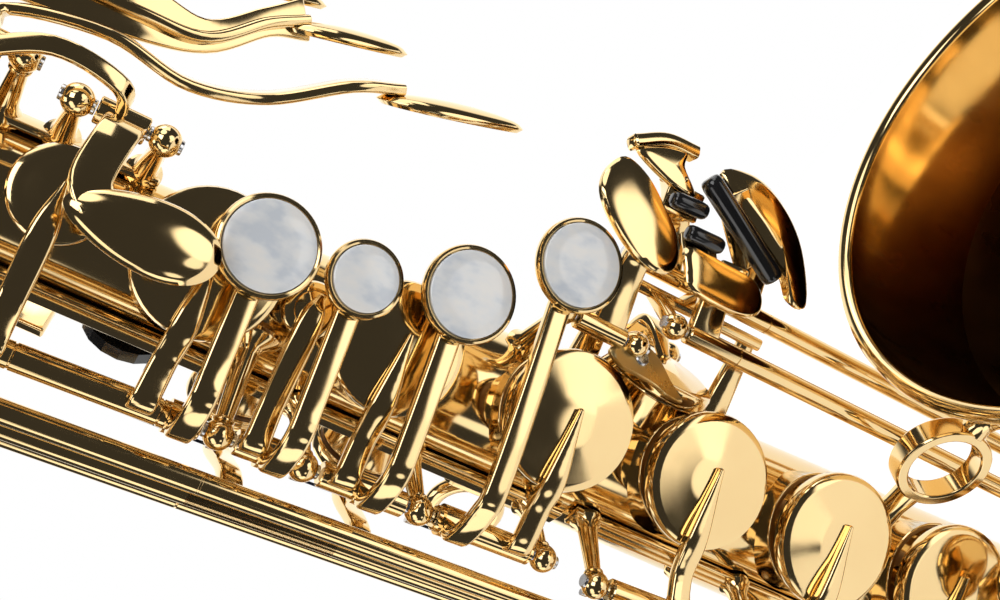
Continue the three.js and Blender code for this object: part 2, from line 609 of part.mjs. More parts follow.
// ---- Front F key ----
const FRONT_F_ROD = [-9, -31.5];
function frontFKey() {
  const [x, y] = FRONT_F_ROD;
  const touch = stackAt(-3, 40, 503);
  const size = { half: 13.5, halfWidth: 6.4, taper: 0.25, points: 14 };
  const outline = Array.from({ length: size.points }, (_, k) => {
    const a = (2 * Math.PI * k) / size.points;
    return [size.half * Math.cos(a), size.halfWidth * Math.sin(a) * (1 + size.taper * Math.cos(a))];
  });
  const pad = plate(outline, 2.6, touch, V(0, 0, -1), stack.out);
  const arm = strap([V(x, y, 512), stackAt(12, 36, 513), stackAt(2, 40, 514), stackAt(-3, 41.3, 511)],
    [8, 7, 7, 7], 2.2);
  const tail = strap([V(x, y, 513.5), stackAt(20.5, 33, 515.5), stackAt(21.5, 34, 528),
    stackAt(15, 32, 540)], 5, 2.2, stack.across);
  return join([hingeTube(x, y, 508.4, 517.6), pad, arm, tail]);
}

// ---- Palm keys ----
const PALM_ROD = [2, -29];
// [tube low, tube high, hole, arm lane and touch as points, touch half length]
const PALM_KEYS = {
  palm_d_key: [535.4, 545.6, "palm_d", [[8, -33, 538], [9, -37, 521], [11, -34, 505], [17, -36, 490],
    [21, -45, 476], [25, -48, 466]], 17],
  palm_eb_key: [552.4, 562.6, "palm_eb", [[10, -31, 556], [19, -37, 548], [22, -38, 520], [26, -38, 505],
    [33, -44, 495], [37, -47, 488]], 14],
  palm_f_key: [569.4, 575.6, "palm_f", [[12, -28, 573], [26, -29, 566], [31, -31, 545], [35, -33, 525],
    [41, -40, 514], [45, -45, 507]], 14],
};

function palmKey([low, high, hole, lane, half]) {
  const [x, y] = PALM_ROD;
  const h = holeFrame(hole);
  const points = lane.map(([px, py, pz]) => V(px, py, pz));
  const start = V(x, y, points[0].z);
  const normal = V(0.35, -0.9, 0.25).normalize();
  const wide = V(0.9, 0.35, 0);
  const end = points.at(-1);
  const touchAt = end.clone().add(V(0.5, 0.6, -half + 4));
  const touch = plate(oval(half, 6.5), 2.4, touchAt, V(0.1, 0.05, -1), normal);
  const top = h.seat + CUP.closed + CUP.thick;
  const arm = strap([V(x, y, h.z), polar(top + 3.5, h.azimuth + 14, h.z),
    polar(top - 0.8, h.azimuth, h.z)], 5, KEY_BAR);
  return join([
    hingeTube(x, y, low, high), arm, closedCup(hole),
    strap([start, ...points], [6, 6, 6, 7, 8, 8, 7], 2.2, wide), touch,
  ]);
}

// ---- Side keys: long rods down the right of the body, touches below, cups behind ----
// name: [rod azimuth, touch height, top of the tube, hole, touch length]
const SIDE_RADIUS = 41; // from the body axis to each rod
const SIDE_TUBE = 2.2; // radius
const SIDE_TOUCH = { halfWidth: 5.5, thick: 2.2 };
const SIDE_KEYS = {
  side_c_key: [159, 372, 548, "side_c", 20],
  side_bb_key: [149, 346, 548, "side_bb", 20],
  high_e_key: [139, 320, 573, "high_e", 20],
  high_f_sharp_key: [129, 294, 550, "high_f_sharp", 16],
};
const sideTube = ([, touchZ, top, , length]) => [touchZ - length / 2, top];

function sideKey(spec) {
  const [azimuth, touchZ, , hole, length] = spec;
  const h = holeFrame(hole);
  const [low, high] = sideTube(spec);
  const top = h.seat + CUP.closed + CUP.thick;
  const turn = Math.sign(h.azimuth - azimuth) * 9;
  const arm = strap([polar(SIDE_RADIUS, azimuth, h.z), polar(SIDE_RADIUS - 6.5, azimuth + turn, h.z),
    polar(top + 5, (azimuth + turn + 2 * h.azimuth) / 3, h.z), polar(top - 1, h.azimuth, h.z)],
  5, KEY_BAR);
  const touchAt = polar(SIDE_RADIUS + 8, azimuth + 16, touchZ);
  const facingOut = polar(1, azimuth + 24, 0);
  const { halfWidth, thick } = SIDE_TOUCH;
  const blade = plate(roundedBox(length / 2, halfWidth, 3), thick, touchAt, UP, facingOut);
  const link = strap([polar(SIDE_RADIUS, azimuth, touchZ), polar(SIDE_RADIUS + 6, azimuth + 6, touchZ),
    touchAt.clone().add(facingOut)], 8, thick);
  const tube = cylinder(polar(SIDE_RADIUS, azimuth, low), polar(SIDE_RADIUS, azimuth, high), SIDE_TUBE);
  return join([tube, arm, closedCup(hole), blade, link]);
}

// ---- Little-finger table and bell keys ----
const TABLE_AZIMUTH = 232;
const table = facing(TABLE_AZIMUTH);
const TABLE_OUT = 41; // height of the table plates above the body axis
const TABLE_TUBE = 2.4; // radius of its hinge tubes
// Lower rods of the low B, B flat and C sharp keys lie side by side.
const TABLE_KEYS = {
  g_sharp_lever: { rod: [-3.6, -32.6], tube: [403, 415] },
  c_sharp_key: { rod: [22, -40], tube: [116, 396] },
  low_b_key: { rod: [2, -38], tube: [150, 388] },
  low_bb_key: { rod: [13, -44], tube: [196, 380] },
};

// A touch plate given as [across, z] corners in the table plane.
function tablePlate(outline) {
  return plate(outline.map(([t, z]) => [z, -t]), TOUCH_PLATE, table.at(0, TABLE_OUT, 0), UP, table.out);
}

const TOUCHES = {
  g_sharp: [[38.5, 424.5], [44, 424.5], [48.5, 421], [47, 415], [41.5, 408.5], [36.5, 404], [31, 403],
    [27.5, 406.5], [28.5, 413], [33, 420]],
  c_sharp: [[51.5, 418.5], [55, 414], [57, 407], [53, 406.5], [48, 402.5], [47.8, 409]],
  low_b: [[27.5, 398], [31.5, 400.6], [36.6, 401.2], [36.9, 391], [36.5, 383], [33, 380], [29, 381],
    [27, 387]],
  low_bb: [[56.8, 397], [60.5, 388], [57, 379], [49.4, 372], [37.5, 368], [36, 372.5], [41.3, 376.2],
    [47.5, 385.5]],
};

function tableKeyBase(name) {
  const { rod: [x, y], tube: [low, high] } = TABLE_KEYS[name];
  return cylinder(V(x, y, low), V(x, y, high), TABLE_TUBE);
}

function tableArm(name, z, target) {
  const { rod: [x, y] } = TABLE_KEYS[name];
  const [t, out, tz] = target;
  const end = table.at(t, out, tz);
  const mid = V((x + end.x) / 2 + 5, (y + end.y) / 2 - 3, (z + tz) / 2);
  return strap([V(x, y, z), mid, end], [7, 7, 6], 2.8);
}

const G_SHARP = { rod: [26, -19], tube: [376, 392] };
const gSharpLever = () => join([tableKeyBase("g_sharp_lever"), tablePlate(TOUCHES.g_sharp),
  tableArm("g_sharp_lever", 407.5, [35, TABLE_OUT + 0.6, 409])]);

function gSharpKey() {
  const h = holeFrame("g_sharp");
  const top = h.seat + CUP.closed + CUP.thick;
  return join([
    cylinder(V(...G_SHARP.rod, G_SHARP.tube[0]), V(...G_SHARP.rod, G_SHARP.tube[1]), TABLE_TUBE),
    closedCup("g_sharp"),
    strap([V(...G_SHARP.rod, h.z), V(22, -27, h.z), polar(top + 0.4, h.azimuth + 4, h.z)], [6, 6, 4],
      KEY_BAR),
  ]);
}

// A key whose cup sits on the bell; built closed, then swung open by `swing` degrees.
function bellKey(name, hole, via, swing) {
  const h = bellHole(hole);
  const { rod: [x, y], tube: [low] } = TABLE_KEYS[name];
  const base = h.seat + CUP.closed;
  const back = base + CUP.thick + 0.4;
  const start = low + 5;
  const towards = Math.sign(via.aside);
  const arm = strap([V(x, y, start), ...via.points.map(([px, py]) => V(px, py, start)),
    h.at(back + 1, towards * (h.radius + 1)), h.at(back, towards * (h.radius - 4)), h.at(back, 0)],
  [8, ...via.points.map(() => 8), 8, 7, 5], 3);
  return swung(join([cup(h.at(base), h.out, h.radius), arm]), [x, y], -swing);
}

const cSharpKey = () => join([
  tableKeyBase("c_sharp_key"), tablePlate(TOUCHES.c_sharp),
  strap([V(...TABLE_KEYS.c_sharp_key.rod, 390), V(26, -53, 396), table.at(50, TABLE_OUT + 0.6, 408)],
    [7, 7, 6], 2.8),
  bellKey("c_sharp_key", "low_c_sharp", { points: [[32, -50]], aside: 1 }, 0),
]);
const lowBKey = () => join([
  tableKeyBase("low_b_key"), tablePlate(TOUCHES.low_b),
  tableArm("low_b_key", 384, [37, TABLE_OUT + 0.6, 388]),
  bellKey("low_b_key", "low_b", { points: [[-10, -42]], aside: -1 }, OPEN_SWING.lowB),
]);
const lowBbKey = () => join([
  tableKeyBase("low_bb_key"), tablePlate(TOUCHES.low_bb),
  tableArm("low_bb_key", 374, [50, TABLE_OUT + 0.6, 378]),
  bellKey("low_bb_key", "low_bb", { points: [[-6, -48]], aside: -1 }, OPEN_SWING.lowBb),
]);

// A bracket over the G sharp cup that carries the table keys' upper ends.
const BRACKET = { azimuth: 297, out: 40, low: 361, high: 403, thick: 3 };
function tableBracket() {
  const { azimuth, out, low, high, thick } = BRACKET;
  const spine = (z) => polar(out, azimuth, z);
  const foot = (z) => polar(bodyRadius(z) + 1, azimuth, z);
  const bar = (from, to) => strap([from, to], 4, thick);
  const heads = ["c_sharp_key", "low_b_key", "low_bb_key"].map((name) =>
    V(...TABLE_KEYS[name].rod, TABLE_KEYS[name].tube[1] + POST_PITCH));
  const legs = [high - 2, low + 2].map((z) => bar(foot(z), spine(z)));
  const body = [strap([spine(high), spine(low)], 7, thick, polar(1, azimuth + 90, 0)), legs];
  return cut(join([body, heads.map((h) => [bar(spine(h.z), h), ball(h)])]), [bodySkin(GAP)]);
}

// ---- Right-hand little-finger keys ----
const PINKY_ROD = [-41, -8];
const PINKY_FACING = V(-0.8, -0.6, 0);
const LOW_EB_TUBE = [108.4, 190];
const LOW_C_TUBE = [40, 101.6];
function lowEbKey() {
  const [x, y] = PINKY_ROD;
  const h = holeFrame("low_eb");
  const top = h.seat + CUP.closed + CUP.thick;
  return join([
    hingeTube(x, y, ...LOW_EB_TUBE), closedCup("low_eb"),
    strap([V(x, y, 125), V(x - 2, y + 4, 125), polar(top + 0.4, h.azimuth, 125)], [7, 7, 5], 2.8),
    plate(roundedBox(8, 9, 4), TOUCH_PLATE, V(-46, -26, 176), UP, PINKY_FACING),
    strap([V(x, y, 176), V(-46, -14, 176), V(-47, -26.5, 176)], 9, 2.6),
  ]);
}

function lowCKey() {
  const [x, y] = PINKY_ROD;
  const base = V(-(lowCSeat() + CUP.closed), -BOW_RADIUS, LOW_C.z);
  const back = base.x - CUP.thick - 0.4;
  const arm = strap([V(x, y, 46), V(x - 2, -20, 38), V(back, -32, LOW_C.z), V(back, -BOW_RADIUS, LOW_C.z)],
    [8, 8, 7, 5], 2.8);
  return join([
    hingeTube(x, y, ...LOW_C_TUBE),
    swung(join([cup(base, V(-1, 0, 0), LOW_C.radius), arm]), [x, y], -OPEN_SWING.lowC),
    strap([V(x, y, 96), V(-50, -14, 104), V(-52, -22, 128), V(-50, -26, 146)], 8, 2.8, V(0.5, -0.8, 0)),
    plate(roundedBox(8, 9, 4), TOUCH_PLATE, V(-48, -27, 152), UP, PINKY_FACING),
  ]);
}

// The one post of the upper stack rod that stands in front of the body; the others stand on its rib.
const FRONT_POST = { z: 474.4, azimuth: 196 };

// Heads of the posts that stand on the body, each with the azimuth of its foot.
function bodyPosts() {
  const ends = ([x, y], [low, high], azimuths) =>
    [low - POST_PITCH, high + POST_PITCH].map((z, end) => [V(x, y, z), azimuths[end]]);
  const sideFeet = {
    side_c_key: [150, 150], side_bb_key: [149, 146], high_e_key: [139, 139], high_f_sharp_key: [129, 142],
  };
  const sidePosts = Object.entries(SIDE_KEYS).flatMap(([name, spec]) => {
    const rod = polar(SIDE_RADIUS, spec[0], 0);
    return ends([rod.x, rod.y], sideTube(spec), sideFeet[name]);
  });
  const bellKeys = ["c_sharp_key", "low_b_key", "low_bb_key"].map((name) => TABLE_KEYS[name]);
  const bellPosts = bellKeys.map(({ rod: [x, y], tube }) =>
    [V(x, y, tube[0] - POST_PITCH), THREE.MathUtils.radToDeg(Math.atan2(y, x))]);
  const lever = TABLE_KEYS.g_sharp_lever;
  return [
    ...sidePosts, ...bellPosts, ...ends(G_SHARP.rod, G_SHARP.tube, [324, 324]),
    ...ends(lever.rod, lever.tube, [278, 278]),
    ...ends(PINKY_ROD, LOW_EB_TUBE, [191, 191]),
    [stackAt(...UPPER_ROD, FRONT_POST.z), FRONT_POST.azimuth],
  ];
}

// ---- Octave mechanism ----
const OCTAVE = { x: 7, y: 26, z: 528, half: 7 };
function octaveLever() {
  const { x, y, z, half } = OCTAVE;
  return join([
    cylinder(V(x - half, y, z), V(x + half, y, z), ROD_RADIUS),
    strap([V(x, y, z), V(x, y + 1, 518), V(x - 1, y - 1, 508)], [6, 10, 16], 2.4, V(1, 0, 0)),
    strap([V(x + 4, y, z), V(x + 5, y + 1, 550), V(x + 5, y + 4, 575), V(x + 5, y + 3, 600),
      V(x + 5, y - 7.5, 616), V(x + 5, y - 7.5, 632)], [5, 5, 5, 5, 4, 4], KEY_BAR, V(1, 0, 0)),
  ]);
}

function octaveRib() {
  const { x, y, z, half } = OCTAVE;
  const heads = [-1, 1].map((side) => V(x + side * (half + POST_PITCH), y, z));
  const strip = strap([V(x, 6, z), V(x, bodyRadius(z) + 3, z)], 10, 27, UP);
  const posts = heads.map((head) => post(V(head.x, bodyRadius(z) + 1, z), head));
  return cut(join([strip, posts]), [bodySkin(GAP)]);
}

const NECK_KEY = { t: 0.36, height: 15, half: 8.8 };
const OCTAVE_PIP = { t: 0.55, height: 14 };
function neckOctaveKey() {
  const pivot = NECK_LINE.getPointAt(NECK_KEY.t).add(V(0, 0, NECK_KEY.height));
  const pad = NECK_LINE.getPointAt(OCTAVE_PIP.t).add(V(0, 0, OCTAVE_PIP.height + CUP.closed));
  const top = pad.z + CUP.thick;
  const bar = strap([pivot, V(0, pivot.y + 12, top + 1), V(0, pad.y, top)], 5, 2.2, V(1, 0, 0));
  const arms = [-1, 1].map((side) => strap([
    V(side * 4, pivot.y, pivot.z), V(side * 6, pivot.y - 8, pivot.z - 2),
    V(side * 15.5, pivot.y - 16, pivot.z - 14), V(side * 19, 2, 650), V(side * 19, 2, 624),
  ], 4, KEY_BAR, V(0, 0.7, 0.7)));
  const yoke = strap([V(-19, 2, 626), V(-16, 22, 626), V(0, 30, 626), V(16, 22, 626), V(19, 2, 626)],
    4, KEY_BAR);
  return join([
    cylinder(pivot.clone().add(V(-6, 0, 0)), pivot.clone().add(V(6, 0, 0)), 2.2), bar,
    cylinder(pad, pad.clone().setZ(top), 4.2, DISC_SIDES), arms, yoke,
  ]);
}

function neckSaddle() {
  const centre = NECK_LINE.getPointAt(NECK_KEY.t);
  const top = centre.clone().add(V(0, 0, NECK_KEY.height));
  return [-1, 1].map((side) => [
    strap([V(side * 5, centre.y, centre.z + 4), V(side * NECK_KEY.half, top.y, top.z)], 5, 2.6,
      V(0, 1, 0)),
    cylinder(V(side * (NECK_KEY.half - 1.4), top.y, top.z),
      V(side * (NECK_KEY.half + 1.4), top.y, top.z), BALL_RADIUS),
  ]);
}

// ---- Rollers ----
// name: [one end, other end, radius], with the ends as [across, z] over the table.
const ROLLERS = {
  c_sharp_roller: [[44.6, 408.3], [45.3, 399.2], 1.9],
  low_b_roller: [[39.1, 402.8], [39.6, 393.5], 1.9],
  low_bb_roller: [[53.4, 400.5], [38.5, 378.4], 2.5],
};

function tableRoller([from, to, radius]) {
  const a = table.at(from[0], TABLE_OUT + 2.2, from[1]);
  const b = table.at(to[0], TABLE_OUT + 2.2, to[1]);
  const axis = b.clone().sub(a);
  const length = axis.length();
  const profile = [
    [0, 0], [radius - 0.6, 0], [radius, 1], [radius, length - 1], [radius - 0.6, length], [0, length],
  ];
  return turned(profile, a, axis, DISC_SIDES);
}

// ---- Assembly ----
const saxophone = new THREE.Group();
saxophone.name = "alto_saxophone";
// The part's origin is the centre of the strap ring, from which the instrument hangs.
const ringCentreY = bodyRadius(STRAP_RING.z) + GAP + 3 + STRAP_RING.radius;
saxophone.position.set(0, -ringCentreY, -STRAP_RING.z);

const LOOKS = {
  brass: { color: 0xd9ab55, roughness: 0.16, metalness: 1 },
  nacre: { color: 0xe9edf2, roughness: 0.2, metalness: 0 },
  resin: { color: 0x101012, roughness: 0.25, metalness: 0 },
  cork: { color: 0xb98a5a, roughness: 0.85, metalness: 0 },
  cane: { color: 0xd9bf83, roughness: 0.6, metalness: 0 },
};

function add(name, manifold, look = "brass") {
  const mesh = new THREE.Mesh(geometryOf(manifold), new THREE.MeshStandardMaterial(LOOKS[look]));
  mesh.name = name;
  saxophone.add(mesh);
}

add("body_tube", bodyTube());
add("bow", bowTube());
add("bell", bell());
const bodyJoint = V(0, 0, BOW_Z - FERRULE.below);
add("bow_ferrule_body", ferrule(bodyJoint, UP, bodyRadius(bodyJoint.z)));
add("bow_ferrule_bell", ferrule(bowMouth.clone().addScaledVector(bellAxis, -FERRULE.below), bellAxis,
  BOW_TUBE.large + 0.9));
add("bell_brace", bellBrace());
add("neck_receiver", neckReceiver());
add("receiver_screw", receiverScrew());
add("neck_tube", neckTube());
add("neck_cork", neckCork(), "cork");
add("mouthpiece", mouthpiece(), "resin");
add("reed", reed(), "cane");
add("ligature", ligature());
add("strap_ring", strapRing());
add("thumb_hook", thumbHook());
add("thumb_rest", thumbRest(), "resin");
add("bell_key_guard", bellKeyGuard());
add("low_c_guard", lowCGuard());
add("upper_rib", stackRib(159, UPPER_ROD, 396, 548, [401.5, 431.4, 457, 543], 2));
add("lower_rib", stackRib(167, LOWER_ROD, 229, 393.5, [234.4, 258.4, 284, 346.8, 389.6], 0));
for (const [name, spec] of Object.entries(STACK_KEYS)) {
  add(name, stackKey(spec));
  if (spec[4]) add(name.replace("key", "pearl"), stackPearl(spec), "nacre");
}
add("front_f_key", frontFKey());
for (const [name, spec] of Object.entries(PALM_KEYS)) add(name, palmKey(spec));
add("palm_rib", ribWithPosts(283, 502, 582.5, 6, [[505, 521].map((z) => V(...FRONT_F_ROD, z)),
  [532, 549, 566, 579].map((z) => V(...PALM_ROD, z))].flat()));
for (const [name, spec] of Object.entries(SIDE_KEYS)) add(name, sideKey(spec));
add("g_sharp_lever", gSharpLever());
add("g_sharp_key", gSharpKey());
add("c_sharp_key", cSharpKey());
add("low_b_key", lowBKey());
add("low_bb_key", lowBbKey());
add("table_bracket", tableBracket());
for (const [name, spec] of Object.entries(ROLLERS)) add(name, tableRoller(spec), "resin");
add("low_eb_key", lowEbKey());
add("low_c_key", lowCKey());
add("octave_lever", octaveLever());
add("octave_rib", octaveRib());
add("neck_octave_key", neckOctaveKey());

export default saxophone;
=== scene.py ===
"""The looks of an alto saxophone: polished brass pieces built round the CAD frame, in millimetres until they become meshes."""
import json
import math
import bmesh
import bpy
from mathutils import Matrix, Quaternion, Vector

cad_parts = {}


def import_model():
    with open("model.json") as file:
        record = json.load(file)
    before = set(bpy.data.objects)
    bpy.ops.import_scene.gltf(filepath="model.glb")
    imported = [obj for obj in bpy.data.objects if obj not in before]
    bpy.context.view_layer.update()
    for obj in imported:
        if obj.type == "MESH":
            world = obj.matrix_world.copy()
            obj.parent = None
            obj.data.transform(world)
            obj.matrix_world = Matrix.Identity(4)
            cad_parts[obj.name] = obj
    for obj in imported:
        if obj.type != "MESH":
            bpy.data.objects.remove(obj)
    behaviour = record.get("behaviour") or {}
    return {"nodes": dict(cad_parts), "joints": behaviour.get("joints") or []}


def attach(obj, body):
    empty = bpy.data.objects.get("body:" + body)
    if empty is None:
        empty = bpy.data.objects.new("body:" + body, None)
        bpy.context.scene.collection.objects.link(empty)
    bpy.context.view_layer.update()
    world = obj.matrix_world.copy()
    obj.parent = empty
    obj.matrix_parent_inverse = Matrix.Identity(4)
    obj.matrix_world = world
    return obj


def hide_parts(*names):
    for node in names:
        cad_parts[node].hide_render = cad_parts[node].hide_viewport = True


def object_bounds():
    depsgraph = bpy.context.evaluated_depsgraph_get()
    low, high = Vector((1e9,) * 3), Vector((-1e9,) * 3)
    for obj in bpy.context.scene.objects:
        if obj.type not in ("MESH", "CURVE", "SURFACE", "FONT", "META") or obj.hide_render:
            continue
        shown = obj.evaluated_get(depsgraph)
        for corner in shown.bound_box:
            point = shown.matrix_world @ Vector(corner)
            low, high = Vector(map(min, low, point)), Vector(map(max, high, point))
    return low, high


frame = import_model()
CAD_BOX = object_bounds()
JOINTS = {j["child"]: j for j in frame["joints"]}

# ---- Shared numbers, the same as the CAD's ----
ORIGIN = Vector((0, 29.2155, 405))  # the strap ring's centre in the body's own frame, mm
BOW_RADIUS, BOW_Z, BOW_LEAD, BOW_SMALL, BOW_LARGE = 46, 78, 2, 26, 32.5
BELL_TILT = math.radians(5.4)
BELL_PROFILE = [(0, 32.5), (72, 35.5), (128, 39), (173, 43), (208, 47.5), (235, 52.5), (255, 57), (268, 60.2),
                (275, 61.5)]
CUP_THICK, CHIMNEY, CLOSED = 4.6, 4, 0.35
OPEN_SWING = {"stack": 6, "lowB": 6.5, "lowBb": 6, "lowC": 7}
UPPER_ROD, LOWER_ROD = (-27.8, 18.7), (-29.3, 22.2)
POST_PITCH = 3.4
UP = Vector((0, 0, 1))
X_AXIS = Vector((1, 0, 0))


def V(x, y, z):
    return Vector((x, y, z))


def polar(rho, azimuth, z):
    a = math.radians(azimuth)
    return V(rho * math.cos(a), rho * math.sin(a), z)


class Facing:
    """Looks out from the body at one azimuth: across (t), out (h) and z."""

    def __init__(self, azimuth):
        self.out = polar(1, azimuth, 0)
        self.across = polar(1, azimuth + 90, 0)

    def at(self, t, h, z):
        return self.across * t + self.out * h + V(0, 0, z)


stack = Facing(224)
table = Facing(232)


def body_radius(z):
    return 13 + (590 - z) * 0.0263


def lerp(a, b, t):
    return a + (b - a) * t


# ---- Mesh building ----
def catmull(points, steps):
    """A smooth line through points (vectors or numbers)."""
    if len(points) < 3:
        return [lerp(points[0], points[-1], i / steps) for i in range(steps + 1)]
    line = []
    p = [points[0] * 2 - points[1]] + list(points) + [points[-1] * 2 - points[-2]]
    for i in range(1, len(p) - 2):
        for k in range(steps):
            t = k / steps
            line.append(0.5 * (p[i] * 2 + (p[i + 1] - p[i - 1]) * t
                               + (p[i - 1] * 2 - p[i] * 5 + p[i + 1] * 4 - p[i + 2]) * (t * t)
                               + (p[i] * 3 - p[i - 1] - p[i + 1] * 3 + p[i + 2]) * (t * t * t)))
    line.append(points[-1])
    return line


def heading(points, i):
    h = Vector((0, 0, 0))
    if i > 0:
        h += (points[i] - points[i - 1]).normalized()
    if i + 1 < len(points):
        h += (points[i + 1] - points[i]).normalized()
    return h.normalized()


def square_to(v, along):
    return (v - along * v.dot(along)).normalized()


class Shape:
    """Gathers closed shells in millimetres and becomes one object."""

    def __init__(self):
        self.verts, self.faces, self.turn = [], [], Matrix.Identity(4)

    def swing(self, rod, degrees):
        """Shells added from here on are turned about an upright rod."""
        x, y = rod
        there = Matrix.Translation((x, y, 0))
        self.turn = there @ Matrix.Rotation(math.radians(degrees), 4, "Z") @ there.inverted()
        return self

    def still(self):
        self.turn = Matrix.Identity(4)
        return self

    def shell(self, rings, caps=True, loop=False):
        """A skin over a row of rings; with loop, the last ring joins the first."""
        n, start = len(rings[0]), len(self.verts)
        self.verts += [self.turn @ v for ring in rings for v in ring]
        rows = len(rings)
        for i in range(rows if loop else rows - 1):
            for j in range(n):
                k, m = (j + 1) % n, (i + 1) % rows
                self.faces.append([start + i * n + j, start + i * n + k, start + m * n + k, start + m * n + j])
        if caps and not loop:
            self.faces.append([start + j for j in reversed(range(n))])
            self.faces.append([start + (rows - 1) * n + j for j in range(n)])
        return self

    def turned(self, profile, base, axis, sides=40, closed=False):
        """A turned shape. profile is [(radius, height)]; ends of radius 0 close it, and closed joins its ends."""
        axis = axis.normalized()
        u = square_to(V(0.3, 0.2, 0.9) if abs(axis.z) < 0.9 else X_AXIS, axis)
        w = axis.cross(u)
        rings = [[base + axis * h + (u * math.cos(a) + w * math.sin(a)) * max(r, 0.001)
                  for a in (2 * math.pi * k / sides for k in range(sides))] for r, h in profile]
        return self.shell(rings, loop=closed)

    def rod(self, a, b, radius, sides=20, end=None):
        length = (b - a).length
        return self.turned([(radius, 0), (radius if end is None else end, length)], a, b - a, sides)

    def tube(self, points, radii, sides=48, side=X_AXIS):
        rings = []
        for i, c in enumerate(points):
            along = heading(points, i)
            u = square_to(side, along)
            w = along.cross(u)
            rings.append([c + (u * math.cos(a) + w * math.sin(a)) * radii[i]
                          for a in (2 * math.pi * k / sides for k in range(sides))])
        return self.shell(rings)

    def ball(self, centre, radius=3, axis=UP, flat=0.0):
        steps = 10
        profile = [(radius * math.sin(math.pi * k / steps), -radius * math.cos(math.pi * k / steps) * (1 - flat))
                   for k in range(steps + 1)]
        return self.turned(profile, centre, axis, 24)

    def bar(self, points, width, thick, across=UP, steps=7, belly=0.0):
        """A smooth bar with rounded edges; width and thick may change point by point."""
        def spread(v):
            v = list(v) if isinstance(v, (list, tuple)) else [v] * len(points)
            return catmull([float(x) for x in v], steps)
        line, ws, ts = catmull(points, steps), spread(width), spread(thick)
        rings = []
        for i, p in enumerate(line):
            along = heading(line, i)
            w = square_to(across, along)
            t = w.cross(along)
            rings.append(self.rounded_section(p, w, t, ws[i] / 2, ts[i] / 2, belly))
        for end, other in ((0, 1), (-1, -2)):
            along = (line[end] - line[other]).normalized()
            w = square_to(across, along)
            t = w.cross(along) * (1 if end else -1)
            cap = self.rounded_section(line[end] + along * 0.35, w, t, ws[end] / 2 - 0.4, ts[end] / 2 - 0.4, belly)
            rings.insert(0, cap) if end == 0 else rings.append(cap)
        return self.shell(rings)

    @staticmethod
    def rounded_section(p, w, t, half_w, half_t, belly):
        r = min(half_w, half_t) * 0.55
        ring = []
        for sx, sy, start in ((1, 1, 0), (-1, 1, 90), (-1, -1, 180), (1, -1, 270)):
            for step in (0, 30, 60, 90):
                a = math.radians(start + step)
                x = sx * (half_w - r) + r * math.cos(a)
                y = sy * (half_t - r) + r * math.sin(a)
                ring.append(p + w * x + t * (y + belly * half_t * (1 - (x / half_w) ** 2)))
        return ring

    def plate(self, outline, thick, centre, x_axis, normal, dome=0.0, smooth=4, rim=0.5):
        """A plate with a rounded edge and a domed top, drawn as an outline in its own plane."""
        normal = normal.normalized()
        x = square_to(x_axis, normal)
        y = normal.cross(x)
        flat = [Vector((a, b)) for a, b in outline]
        n = len(flat)
        ring2 = []
        for i in range(n):
            p0, p1, p2, p3 = (flat[(i + d) % n] for d in (-1, 0, 1, 2))
            for k in range(smooth):
                t = k / smooth
                ring2.append(0.5 * (p1 * 2 + (p2 - p0) * t + (p0 * 2 - p1 * 5 + p2 * 4 - p3) * t * t
                                    + (p1 * 3 - p0 - p2 * 3 + p3) * t ** 3))
        mid = sum(ring2, Vector((0, 0))) / len(ring2)
        reach = sum((p - mid).length for p in ring2) / len(ring2)
        rings = []
        levels = [(0, 0.0, 0), (1 - rim / reach, 0.0, 0), (1, rim, 0), (1, thick - rim, 0), (1 - rim / reach, thick, 0.0),
                  (0.85, thick, 0.3), (0.6, thick, 0.68), (0.3, thick, 0.93), (0, thick, 1)]
        for scale, h, lift in levels:
            rings.append([centre + x * q.x + y * q.y + normal * (h + dome * lift)
                          for q in (mid + (p - mid) * max(scale, 0.002) for p in ring2)])
        return self.shell(rings)

    def make(self, name, material, body=None, replaces=(), bevel=0.25, smooth_angle=40):
        mesh = bpy.data.meshes.new(name)
        mesh.from_pydata([(v - ORIGIN) * 0.001 for v in self.verts], [], self.faces)
        mesh.validate()
        obj = bpy.data.objects.new(name, mesh)
        bpy.context.scene.collection.objects.link(obj)
        finish_mesh(obj, bevel, smooth_angle)
        obj.data.materials.append(MATERIALS[material][0])
        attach(obj, body or "instrument")
        if replaces:
            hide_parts(*([replaces] if isinstance(replaces, str) else replaces))
        return obj


def finish_mesh(obj, bevel, smooth_angle):
    bm = bmesh.new()
    bm.from_mesh(obj.data)
    bmesh.ops.recalc_face_normals(bm, faces=bm.faces)
    bm.to_mesh(obj.data)
    bm.free()
    obj.data.polygons.foreach_set("use_smooth", [True] * len(obj.data.polygons))
    obj.data.set_sharp_from_angle(angle=math.radians(smooth_angle))
    if bevel:
        m = obj.modifiers.new("edge", "BEVEL")
        m.width, m.segments, m.limit_method, m.angle_limit = bevel * 0.001, 2, "ANGLE", math.radians(38)
        m.harden_normals = True


# ---- Materials ----
def nodes_of(name):
    mat = bpy.data.materials.new(name)
    mat.use_nodes = True
    tree = mat.node_tree
    return mat, tree, tree.nodes["Principled BSDF"]


def noise(tree, scale, detail=3, stretch=(1, 1, 1)):
    coords = tree.nodes.new("ShaderNodeTexCoord")
    mapping = tree.nodes.new("ShaderNodeMapping")
    mapping.inputs["Scale"].default_value = stretch
    tree.links.new(coords.outputs["Object"], mapping.inputs["Vector"])
    tex = tree.nodes.new("ShaderNodeTexNoise")
    tex.inputs["Scale"].default_value = scale
    tex.inputs["Detail"].default_value = detail
    tree.links.new(mapping.outputs["Vector"], tex.inputs["Vector"])
    return tex.outputs["Fac"]


